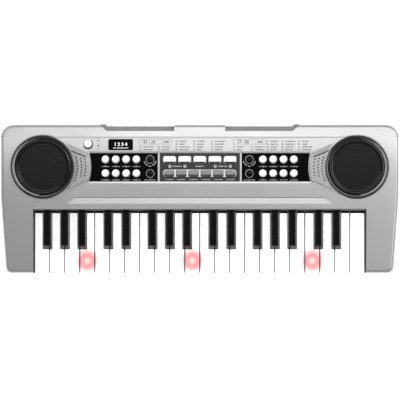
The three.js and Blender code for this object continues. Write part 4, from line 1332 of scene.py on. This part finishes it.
ARC_TURNS = ((194, 249), (291, 346))  # degrees
NUMBER_HEIGHT = 1.55 * MM
LEGEND_ROWS = (18.4, 3.0)  # mm: from the speakers' line to a legend's lowest row, and between rows
LEGENDS = (  # left and right side of the heading, first number, and (place, rows) of each column, in mm
    (-65, -30, 1, ((-64, 2), (-44, 2), (-25, 4), (-6.2, 4), (13.2, 4))),
    (36, 71.5, 17, ((37, 2), (56, 2), (73, 4), (89, 4), (107, 4))),
)
POWER_MARKS_X = -109.2 * MM  # of the marks right of the power button
# A painted shadow: a dark arc in front of the power button, its inner and outer radius and its turns
POWER_SHADOW_ARC = (5.15 * MM, 5.9 * MM, math.radians(212), math.radians(328))
BADGE_RISE = 0.35 * MM
TRAY_RISE = 0.45 * MM
TRAY_CORNER = 3.4 * MM
LABEL_REAR = 0.3 * MM  # the labels' lines under the two rows of buttons
LABEL_FRONT = -14.2 * MM
LABEL_WIDTH, DOME_LABEL_WIDTH = 8.4 * MM, 12.4 * MM
FIELD_STROKES = ((-29.5, -19.5), (-4.5, 4.5), (20, 29.5))  # mm; the rows of strokes between the signs
PAD_LABEL_DROP = 6.5 * MM  # from the pads' row down to their labels
FIELD_RISE = 0.06 * MM  # of the panel's middle field over its plate
FIGURE_SHARE = 0.72  # of a font's size that its figures are high
BOLDNESS = 0.045  # how much figures are thickened, as a share of their height


def row_places():
    """(x, y) of one side's round buttons, from the middle outwards."""
    deck, buttons = sizes("deck"), sizes("buttons")
    return [(buttons.round_first + column * buttons.round_pitch, row)
            for row in (deck.row_front, deck.row_rear) for column in range(4)]


def dome_places():
    rows = (sizes("deck").row_front, sizes("deck").row_rear)
    return [(side * sizes("buttons").dome_x, row) for side in SIDES for row in rows]


def evenly(count, pitch):
    return [(k - (count - 1) / 2) * pitch for k in range(count)]


def bar_outline(x, grow=0.0):
    buttons = sizes("buttons")
    return rectangle(x, buttons.bar_row, buttons.bar_width + 2 * grow, buttons.bar_depth + 2 * grow,
                     BAR_CORNER + grow, math.radians(15))


def pad_outline(number, grow=0.0):
    """A pad in plan: round at its front, and fully round at the row's two ends."""
    buttons, y = sizes("buttons"), sizes("deck").row_front
    x = evenly(PADS, buttons.pad_pitch)[number]
    half = (buttons.pad_pitch - buttons.pad_gap) / 2 - PAD_SPACE[0]
    deep = buttons.pad_depth / 2 - PAD_SPACE[1]
    front, rear, end = PAD_ROUND
    left = (end, end) if number == 0 else (front, rear)
    right = (end, end) if number == PADS - 1 else (front, rear)
    corners = [(x - half, y - deep, left[0]), (x + half, y - deep, right[0]),
               (x + half, y + deep, right[1]), (x - half, y + deep, left[1])]
    return drawn_in(rounded(corners, math.radians(15)), -grow)


def tray_outline(grow=0.0):
    buttons = sizes("buttons")
    width = PADS * buttons.pad_pitch - buttons.pad_gap + 0.6 * MM
    depth = buttons.pad_depth - 0.1 * MM
    return rectangle(0, sizes("deck").row_front + 0.3 * MM, width + 2 * grow, depth + 2 * grow,
                     TRAY_CORNER + grow, math.radians(9))


def tapered(outline, high, knee, front, side, soft):
    """A cap over an outline: upright to its knee, then leaning in on all sides, most at its front."""
    left, right = min(p.x for p in outline), max(p.x for p in outline)
    near, rear = min(p.y for p in outline), max(p.y for p in outline)
    middle = (left + right) / 2
    wide = 1 - 2 * side / (right - left)
    deep = 1 - (front + side) / (rear - near)
    leaning = [Vector((middle + (p.x - middle) * wide, rear - side - (rear - p.y) * deep)) for p in outline]
    layers = [(outline, CAP_FOOT), (outline, knee), (leaning, high - soft)]
    layers += [(drawn_in(leaning, inset), high - soft + rise) for inset, rise in rounded_steps(soft, 3)]
    return layered(layers)


def round_cap(x, y, radius, low, high):
    """A round cap with a soft edge and a slightly domed top."""
    knee, rim = high - CAP_CROWN - CAP_EDGE, radius - CAP_EDGE
    profile = [(0, low), (radius, low), (radius, knee)]
    profile += [(radius - inset, knee + rise) for inset, rise in rounded_steps(CAP_EDGE, 6)[:-1]]
    profile += [(rim * share, high - CAP_CROWN * share**2) for share in (0.95, 0.75, 0.5, 0.25)]
    form = lathe(profile + [(0, high)], 64)
    form.transform(Matrix.Translation((x, y, 0)))
    return form


def shade_fronts(caps, aside=1.0):
    """Gives caps' sloping fronts their second finish, painted shade, except where they turn too far aside.
    """
    least, most = FRONT_FACING
    repainted(caps, 1, lambda face: least < face.normal.y < most and abs(face.normal.x) < aside)


# ---- Print ----


def written(text, x, y, height):
    """Thin raised figures, centred on a place."""
    curve = bpy.data.curves.new("figures", "FONT")
    curve.body = text
    curve.size = height / FIGURE_SHARE
    curve.align_x = curve.align_y = "CENTER"
    curve.extrude = INK / 2
    curve.offset = height * BOLDNESS
    curve.resolution_u = 2
    holder = bpy.data.objects.new("figures", curve)
    mesh = bpy.data.meshes.new_from_object(holder)
    form = bmesh.new()
    form.from_mesh(mesh)
    form.transform(Matrix.Translation((x, y, INK / 2)))
    bpy.data.objects.remove(holder)
    bpy.data.curves.remove(curve)
    bpy.data.meshes.remove(mesh)
    return form


def strip(left, right, y, thickness):
    return prism(rectangle((left + right) / 2, y, right - left, thickness), 0, INK)


def dashes(left, right, y, thickness, seed=0):
    """A row of short strokes of changing length."""
    forms = []
    start, k = left, seed
    while start < right - 0.3 * MM:
        end = min(right, start + (0.55 + 0.35 * ((k * 7 + seed * 3) % 4)) * MM)
        forms.append(strip(start, end, y, thickness))
        start = end + (0.3 if k % 5 else 0.75) * MM
        k += 1
    return forms


def hoop(x, y, inner, outer, start=0.0, end=FULL_TURN):
    """A flat printed ring, or an arc of one."""
    if end - start < FULL_TURN:
        steps = max(6, math.ceil((end - start) / ARC_STEP))
        return prism(arc((x, y), outer, start, end, steps) + arc((x, y), inner, end, start, steps), 0, INK)
    form = lathe([(inner, 0), (outer, 0), (outer, INK), (inner, INK)], 48)
    form.transform(Matrix.Translation((x, y, 0)))
    return form


def label(number, x, y, width):
    """A plain number between two short rules."""
    return [written(f"{number:02d}", x, y, NUMBER_HEIGHT)] + [
        strip(x + min(ends), x + max(ends), y, MM / 2)
        for ends in ((-width / 2, -NUMBER_HEIGHT), (NUMBER_HEIGHT, width / 2))
    ]


def panel_signs():
    """The arcs under two domes, and the plus and minus signs in the middle field."""
    deck, buttons = sizes("deck"), sizes("buttons")
    forms = []
    for side in SIDES:
        x, y = side * buttons.dome_x, deck.row_rear
        forms += [hoop(x, y, *ARC_RADII, *map(math.radians, turn)) for turn in ARC_TURNS]
        for shift in (-0.75 * MM, 0.75 * MM):
            forms.append(hoop(x + shift, y - 7.2 * MM, 0.05 * MM, 0.55 * MM))
    signs = evenly(BARS, buttons.bar_pitch)
    for k, x in enumerate(signs[:2] + signs[-2:]):
        x += SIGN_SHIFT
        forms.append(hoop(x, SIGN_LINE, 0.85 * MM, 1.6 * MM))
        forms.append(strip(x - 0.65 * MM, x + 0.65 * MM, SIGN_LINE, 0.4 * MM))
        if k % 2:
            forms.append(strip(x - 0.2 * MM, x + 0.2 * MM, SIGN_LINE, 1.3 * MM))
    return forms


def panel_print():
    """Labels under the buttons and pads, and strokes between the signs."""
    deck, buttons = sizes("deck"), sizes("buttons")
    forms = []
    for side in SIDES:
        for k, (x, y) in enumerate(row_places(), 1):
            line = LABEL_FRONT if y < 0 else LABEL_REAR
            forms += label(k + (8 if side > 0 else 0), side * x, line, LABEL_WIDTH)
        forms += label(20 + side, side * buttons.dome_x, LABEL_FRONT, DOME_LABEL_WIDTH)
    for k, (left, right) in enumerate(FIELD_STROKES):
        forms += dashes(left * MM, right * MM, SIGN_LINE, 1.15 * MM, k)
    y = deck.row_front - PAD_LABEL_DROP
    for k, x in enumerate(evenly(PADS, buttons.pad_pitch)):
        forms.append(written(str(k + 1), x - 4.2 * MM, y, 1.35 * MM))
        forms += dashes(x - 2.9 * MM, x + 4.6 * MM, y, 0.95 * MM, k)
    return forms


def legend(left, right, first, columns):
    """A framed heading over columns of plain numbers with strokes beside them."""
    left, right, top, bottom, thin = (number * MM for number in (left, right, 29.2, 24.5, 0.28))
    middle = (top + bottom) / 2
    forms = [strip(left, right, top, thin), strip(left, right, bottom, thin)]
    forms += [prism(rectangle(x, middle, thin, top - bottom), 0, INK) for x in (left, right)]
    forms.append(written(f"{first:02d} - {first + 15:02d}", left + 10.7 * MM, middle, 3.1 * MM))
    forms += dashes(right - 9 * MM, right - 3 * MM, middle, 1.6 * MM, first)
    number = first
    lowest, pitch = LEGEND_ROWS
    for x, rows in columns:
        for row in reversed(range(rows)):
            y = (lowest + pitch * row) * MM
            forms.append(written(f"{number:02d}", x * MM, y, 1.6 * MM))
            forms += dashes((x + 3.1) * MM, (x + 9 + (number * 5) % 6) * MM, y, 1.05 * MM, number)
            number += 1
    return forms


class ControlPanel(bpy.types.Operator):
    """The panel: black plate, grey middle field, silver dividers, dome rings, tray and light print"""

    bl_idname = "keyboard.control_panel"
    bl_label = "Control panel"

    def execute(self, context):
        deck, buttons = sizes("deck"), sizes("buttons")
        place, fit = deck_place(), deck.fit
        outline = panel_outline(PANEL_SEAM)
        plate = made("panel_plate", prism(outline, -deck.panel_thick, 0, top=0.2 * MM, steps=2))
        centre = (deck.panel_rear + deck.panel_front) / 2
        depth = deck.panel_rear - deck.panel_front - 2 * PANEL_SEAM
        width = 2 * deck.divider - deck.divider_width
        field = made("panel_field", prism(rectangle(0, centre, width, depth), -0.2 * MM, FIELD_RISE))
        rounds = [(side * x, y) for side in SIDES for x, y in row_places()]
        holes = [circle(spot, buttons.round_radius + fit) for spot in rounds]
        holes += [circle(spot, buttons.dome_radius + fit) for spot in dome_places()]
        in_field = [bar_outline(x, fit) for x in evenly(BARS, buttons.bar_pitch)]
        in_field.append(tray_outline(0.05 * MM))

        def pierced(piece, outlines):
            cut(piece, *(prism(outline, -OVER_DECK, OVER_DECK) for outline in outlines))
            piece.data.transform(place)

        pierced(plate, holes + in_field)
        pierced(field, in_field)
        dressed(plate, "case", "panel_black", slot="panel_black", nodes=("control_panel",))
        dressed(field, "case", "panel_grey")
        for side, name in SIDE_NAMES.items():
            outline = rectangle(side * deck.divider, centre, deck.divider_width, depth)
            rail = prism(outline, -0.2 * MM, 0.4 * MM, top=0.3 * MM, steps=3)
            dressed(made("divider_" + name, rail, place=place), "case", "silver_trim")
        rings = []
        inner, outer = buttons.dome_radius + fit / 2, buttons.dome_ring
        profile = [(inner, -0.2 * MM), (outer, -0.2 * MM), (outer, 0.25 * MM),
                   (outer - 0.2 * MM, 0.45 * MM), (inner + 0.25 * MM, 0.45 * MM), (inner, 0.2 * MM)]
        for spot in dome_places():
            ring = lathe(profile, 64)
            ring.transform(Matrix.Translation((*spot, 0)))
            rings.append(ring)
        dressed(made("dome_rings", *rings, place=place), "case", "silver_trim")
        tray = made("pad_tray", prism(tray_outline(), -deck.panel_thick, TRAY_RISE, top=0.2 * MM, steps=2))
        pierced(tray, [pad_outline(number, 0.15 * MM) for number in range(PADS)])
        dressed(tray, "case", "tray_grey")
        raised = place @ Matrix.Translation((0, 0, FIELD_RISE))
        dressed(made("panel_print", *panel_print(), place=raised), "case", "light_ink")
        dressed(made("panel_signs", *panel_signs(), place=raised), "case", "silver_trim")
        return {"FINISHED"}


class DeckPrintAndShadow(bpy.types.Operator):
    """The small black plate with plain numbers, the dark print behind the panel, and a painted shadow in
    front of the power button
    """

    bl_idname = "keyboard.deck_print"
    bl_label = "Deck print"

    def execute(self, context):
        deck, buttons = sizes("deck"), sizes("buttons")
        place = deck_place() @ Matrix.Translation((0, 0, -sizes("case").field_depth))
        x, y = -deck.badge_x, deck.badge_y
        outline = rectangle(x, y, deck.badge_width, deck.badge_depth, 1.6 * MM)
        plate = prism(outline, -0.2 * MM, BADGE_RISE, top=0.15 * MM, steps=2)
        dressed(made("number_plate", plate, place=place), "case", "panel_black")
        figures = [written("1 2 3 4", x, y + 0.3 * MM, 3.6 * MM)]
        figures += dashes(x - 8 * MM, x + 8 * MM, y - 3.6 * MM, 0.8 * MM, 3)
        above = place @ Matrix.Translation((0, 0, BADGE_RISE))
        dressed(made("number_plate_print", *figures, place=above), "case", "button_white")
        forms = [form for entry in LEGENDS for form in legend(*entry)]
        x, y = POWER_MARKS_X, buttons.power_y
        for up, thickness in ((3.6, 0.8), (-1.9, 1.0)):
            forms.append(strip(x - 1.3 * MM, x + 1.3 * MM, y + up * MM, thickness * MM))
        for up in (1.2, -4.4):
            forms.append(hoop(x, y + up * MM, 1.5 * MM, 1.75 * MM, math.radians(200), math.radians(340)))
        # Painted shadow: a dark arc in front of the power button
        forms.append(hoop(-buttons.power_x, y, *POWER_SHADOW_ARC))
        dressed(made("deck_print", *forms, place=place), "case", "dark_ink_and_painted_shadow")
        return {"FINISHED"}


class Buttons(bpy.types.Operator):
    """All the buttons of the deck: round caps, domes, bars, rubber pads and the power button"""

    bl_idname = "keyboard.buttons"
    bl_label = "Buttons"

    def execute(self, context):
        deck, buttons = sizes("deck"), sizes("buttons")
        place, low, top = deck_place(), WEB_TOP - WEB, buttons.cap_height
        for side, name in ((-1, "tone_buttons"), (1, "rhythm_buttons")):
            radius, row = buttons.round_radius, (deck.row_rear + deck.row_front) / 2
            middle = side * (buttons.round_first + 1.5 * buttons.round_pitch)
            width = 3 * buttons.round_pitch + 2 * radius
            web = rectangle(middle, row, width, deck.row_rear - deck.row_front + 2 * radius, radius)
            caps = [round_cap(side * x, y, radius, CAP_FOOT, top) for x, y in row_places()]
            group = made(name + "_caps", prism(web, low, WEB_TOP), *caps, place=place)
            dressed(group, name, "button_white", slot="button_white", nodes=(name,))
        for number, (x, y) in enumerate(dome_places(), 1):
            name = f"dome_button_{number:02d}"
            radius = buttons.dome_radius
            profile = [(0, low), (radius + FLANGE, low), (radius + FLANGE, WEB_TOP), (radius, WEB_TOP),
                       (radius, DOME_FOOT)]
            for a in (math.radians(9 * k) for k in range(1, 10)):
                profile.append((radius * math.cos(a), DOME_FOOT + (top - DOME_FOOT) * math.sin(a)))
            spot = place @ Matrix.Translation((x, y, 0))
            dome = made(name + "_cap", lathe(profile + [(0, top)], 64), place=spot)
            dressed(dome, name, "key_black", slot="button_black", nodes=(name,))
        for number, x in enumerate(evenly(BARS, buttons.bar_pitch), 1):
            name = f"bar_button_{number:02d}"
            cap = tapered(bar_outline(x), top, *BAR_LEANING)
            bar = made(name + "_cap", cap, prism(bar_outline(x, FLANGE), low, WEB_TOP), place=place)
            shade_fronts(bar, 0.3)
            dressed(bar, name, "bar_white", "painted_front_shade", slot="button_white", nodes=(name,))
        width = PADS * buttons.pad_pitch - buttons.pad_gap
        web = rectangle(0, deck.row_front, width, buttons.pad_depth + 2 * FLANGE)
        caps = [tapered(pad_outline(number), buttons.pad_height, *PAD_LEANING) for number in range(PADS)]
        pads = made("drum_pad_caps", prism(web, low, WEB_TOP), *caps, place=place)
        shade_fronts(pads)
        dressed(pads, "drum_pads", "pad_rubber", "painted_front_shade", slot="pad_rubber", nodes=("drum_pads",))
        x, y, radius = -buttons.power_x, buttons.power_y, buttons.power_radius
        flange = prism(circle((x, y), radius + FLANGE), POWER_WEB_TOP - WEB, POWER_WEB_TOP)
        cap = round_cap(x, y, radius, POWER_WEB_TOP - WEB / 2, top)
        power = made("power_button_cap", cap, flange, place=place)
        dressed(power, "power_button", "button_white", slot="button_white", nodes=("power_button",))
        return {"FINISHED"}


class Boards(bpy.types.Operator):
    """The circuit boards inside, which keep their CAD shapes"""

    bl_idname = "keyboard.boards"
    bl_label = "Boards"

    def execute(self, context):
        for name in ("main_board", "contact_board"):
            node = frame["nodes"][name]
            node.data.materials.clear()
            node.data.materials.append(finish("board_green"))
        return {"FINISHED"}


# ---- Keys ----

SHADE_FELT = 1.9 * MM  # width of the black felt along the keys' rear, painted shade under the deck's edge
SHADE_FELT_DROP = 1.2 * MM
RAIL_RADIUS = 2.5 * MM
RAIL_CLEARANCE = 0.35 * MM
WHITE_INSET = 0.18 * MM  # how far a white cap stands inside its place on each side
BLACK_EDGE = (1.3 * MM, 16.5)  # width of a black key's long bevels, and how steep they are, in degrees
BLACK_ROUND = (0.9 * MM, 0.3 * MM)  # radius of a black key's front corners, and of its rear ones
BEVEL_FACING = (0.8, 0.98)  # how far the bevels face up


def white_plan(number, inset, rear_y):
    """A white key in plan, drawn in by so much, back to a given place."""
    keys = sizes("keys")
    left, right = across(f"white_key_{number:02d}")
    left, right = left + WHITE_INSET, right - WHITE_INSET
    rear_left, rear_right = left, right
    for black in range(1, BLACK_KEYS + 1):
        low, high = across(f"black_key_{black:02d}")
        if low < left < high:
            rear_left = high + keys.black_gap
        if low < right < high:
            rear_right = low - keys.black_gap
    notch = keys_rear() - keys.black_length - keys.black_gap - inset
    front = FRONT_Y + inset
    corner = max(0.0, keys.white_round - inset)
    corners = [(left + inset, front, corner), (right - inset, front, corner)]
    if rear_right < right:
        corners += [(right - inset, notch, corner), (rear_right - inset, notch, 0)]
    corners += [(rear_right - inset, rear_y, 0), (rear_left + inset, rear_y, 0)]
    if rear_left > left:
        corners += [(rear_left + inset, notch, 0), (left + inset, notch, corner)]
    return rounded(corners, math.radians(30)), (rear_left, rear_right)


def key_tail(left, right):
    """The tail that carries a key back under the deck and over the rail."""
    keys = sizes("keys")
    front, rear = keys_rear() - keys.plunger / 2, PIVOT_Y + keys.tail_end
    top = WHITE_TOP - keys.white_round
    notch = arc((PIVOT_Y, PIVOT_Z), RAIL_RADIUS + RAIL_CLEARANCE, math.pi, 0, 12)
    corners = [Vector(p) for p in ((rear, PIVOT_Z), (rear, top), (front, top), (front, PIVOT_Z))]
    return sideways(notch + corners, left, right)


class WhiteKeys(bpy.types.Operator):
    """The white keys: hollow, with rounded edges, notches beside the black keys, and tails over the rail"""

    bl_idname = "keyboard.white_keys"
    bl_label = "White keys"

    def execute(self, context):
        keys = sizes("keys")
        for number in range(1, WHITE_KEYS + 1):
            name = f"white_key_{number:02d}"
            plan, sides = white_plan(number, 0, keys_rear())
            form = prism(plan, KEY_BASE, WHITE_TOP, top=keys.white_round, foot=0.3 * MM, steps=4)
            key = made(name + "_cap", form)
            pocket, _ = white_plan(number, keys.wall, keys_rear() - keys.plunger)
            cut(key, prism(pocket, 0, WHITE_TOP - keys.wall))
            joined(key, key_tail(*sides))
            # A low step along the key's rear, lined with black felt as painted shade under the deck's edge
            rear, low = keys_rear(), WHITE_TOP - SHADE_FELT_DROP
            cut(key, block(*across(name), rear - SHADE_FELT, rear + 2 * SHADE_FELT, low, FAR))
            repainted(key, 1, lambda face: face.center.y > rear - 1.1 * SHADE_FELT and face.center.z > low - SAME)
            dressed(key, name, "key_white", "painted_shade_felt", slot="key_white", nodes=(name,))
        return {"FINISHED"}


class BlackKeys(bpy.types.Operator):
    """The black keys: narrower at the top, with a sloping front, hollow, and tails over the rail"""

    bl_idname = "keyboard.black_keys"
    bl_label = "Black keys"

    def execute(self, context):
        keys = sizes("keys")
        front, rear = keys_rear() - keys.black_length, keys_rear()
        bevel, fall = BLACK_EDGE
        low = BLACK_TOP - bevel * math.tan(math.radians(fall))
        top_front, top_rear = front + keys.black_slope, rear - 0.4 * MM
        half, wall = keys.black_width / 2, keys.wall
        edge_half = half - MM / 2
        least, most = BEVEL_FACING
        for number in range(1, BLACK_KEYS + 1):
            name = f"black_key_{number:02d}"
            left, right = across(name)
            middle = (left + right) / 2

            def plan(wide, start, end):
                corners = [(middle - wide, start), (middle + wide, start), (middle + wide, end),
                           (middle - wide, end)]
                radii = (BLACK_ROUND[0], BLACK_ROUND[0], BLACK_ROUND[1], BLACK_ROUND[1])
                return rounded([(*spot, radius) for spot, radius in zip(corners, radii)], math.radians(18))

            form = layered([(plan(half, front, rear), KEY_BASE), (plan(half, front, rear), WHITE_TOP + MM),
                            (plan(edge_half, top_front - MM / 2, top_rear), low - 0.2 * MM),
                            (plan(edge_half - 0.1 * MM, top_front - 0.3 * MM, top_rear), low),
                            (plan(edge_half - bevel, top_front, top_rear), BLACK_TOP)])
            key = made(name + "_cap", form)
            sides = (left + wall, right - wall)
            cut(key, block(*sides, front + wall, rear - keys.plunger, 0, WHITE_TOP - wall))
            joined(key, key_tail(left, right))
            repainted(key, 1, lambda face: least < face.normal.z < most and face.center.y > top_front)
            dressed(key, name, "key_black", "key_edge", slot="key_black", nodes=(name,))
        return {"FINISHED"}


# ---- The stage: floor, light and camera ----

CAMERA_HEIGHT = 4.0
FRAME_WIDTH = 0.4311  # what the photograph spans at the middle of the deck
FRAME_HEIGHT = 39 * MM  # height of the plane on which it spans that
FRAME_MIDDLE = (0.27 * MM, -1.35 * MM)
SENSOR = 36  # mm
WORLD_LIGHT = 0.28
LIGHTS = (  # name, size, place, target, watts, and whether it shows in reflections
    ("rear_key", (0.5, 0.06), (0, 0.068, 0.32), (0, 0.068, 0), 0.275, True),
    ("rear_spot", (0.14, 0.05), (0, 0.085, 0.28), (0, 0.085, 0), 0.03, True),
    ("rear_fill", (1.2, 0.4), (0, 0.95, 0.8), (0, 0, 0), 4.8, False),
    ("right_key", (0.6, 0.5), (0.62, 0.05, 0.95), (0.05, 0, 0), 2.6, True),
    ("right_fill", (0.5, 0.7), (0.85, 0.5, 0.75), (0, 0, 0), 9.6, False),
    ("left_fill", (0.5, 0.7), (-0.85, 0.5, 0.75), (0, 0, 0), 9.6, False),
)


def area_light(name, size, place, target, watts, glossy):
    """A rectangular softbox that faces a point."""
    data = bpy.data.lights.new(name, "AREA")
    data.shape = "RECTANGLE"
    data.size, data.size_y = size
    data.energy = watts
    light = bpy.data.objects.new(name, data)
    light.location = place
    light.visible_camera = False
    light.visible_glossy = glossy
    light.rotation_euler = (Vector(target) - Vector(place)).to_track_quat("-Z", "Y").to_euler()
    bpy.context.scene.collection.objects.link(light)
    return light


class Stage(bpy.types.Operator):
    """A plain pale floor, soft studio light, and the camera of the photograph"""

    bl_idname = "keyboard.stage"
    bl_label = "Stage"

    def execute(self, context):
        scene = context.scene
        scene.view_settings.view_transform = "Standard"
        floor = made("floor", block(-3, 3, -3, 3, -2 * MM, 0))
        floor.data.materials.append(finish("paper_floor"))
        world = bpy.data.worlds.new("studio")
        world.use_nodes = True
        background = world.node_tree.nodes["Background"]
        background.inputs["Color"].default_value = (1, 1, 1, 1)
        background.inputs["Strength"].default_value = WORLD_LIGHT
        scene.world = world
        lights = [area_light(*light) for light in LIGHTS]
        data = bpy.data.cameras.new("camera")
        data.sensor_width = SENSOR
        data.lens = SENSOR * (CAMERA_HEIGHT - FRAME_HEIGHT) / FRAME_WIDTH
        data.clip_end = 20
        camera = bpy.data.objects.new("camera", data)
        camera.location = (*FRAME_MIDDLE, CAMERA_HEIGHT)
        scene.collection.objects.link(camera)
        scene.camera = camera
        return {"FINISHED"}


# ---- Sidebar, registration and the run ----

GROUPS = {
    "case": KeyboardCase,
    "deck": KeyboardDeck,
    "buttons": KeyboardButtons,
    "keys": KeyboardKeys,
    "colours": KeyboardColours,
}
OPERATORS = (
    UpperCase, LowerCase, BatteryDoor, Speakers, ControlPanel, DeckPrintAndShadow, Buttons, WhiteKeys, BlackKeys,
    Boards, Stage,
)


class KeyboardPanel(bpy.types.Panel):
    """Lists the keyboard's pieces in the sidebar"""

    bl_idname = "VIEW3D_PT_keyboard"
    bl_label = "Toy Keyboard"
    bl_space_type = "VIEW_3D"
    bl_region_type = "UI"
    bl_category = "Keyboard"

    def draw(self, context):
        for operator in OPERATORS:
            self.layout.operator(operator.bl_idname)


def register():
    for group in GROUPS.values():
        bpy.utils.register_class(group)
    for name, group in GROUPS.items():
        setattr(bpy.types.Scene, "keyboard_" + name, PointerProperty(type=group))
    for piece in (*OPERATORS, KeyboardPanel):
        bpy.utils.register_class(piece)


def unregister():
    for piece in (KeyboardPanel, *reversed(OPERATORS)):
        bpy.utils.unregister_class(piece)
    for name, group in GROUPS.items():
        delattr(bpy.types.Scene, "keyboard_" + name)
        bpy.utils.unregister_class(group)


def main():
    """Makes the pieces in order."""
    register()
    for operator in OPERATORS:
        category, name = operator.bl_idname.split(".")
        getattr(getattr(bpy.ops, category), name)()


if __name__ == "__main__":
    main()
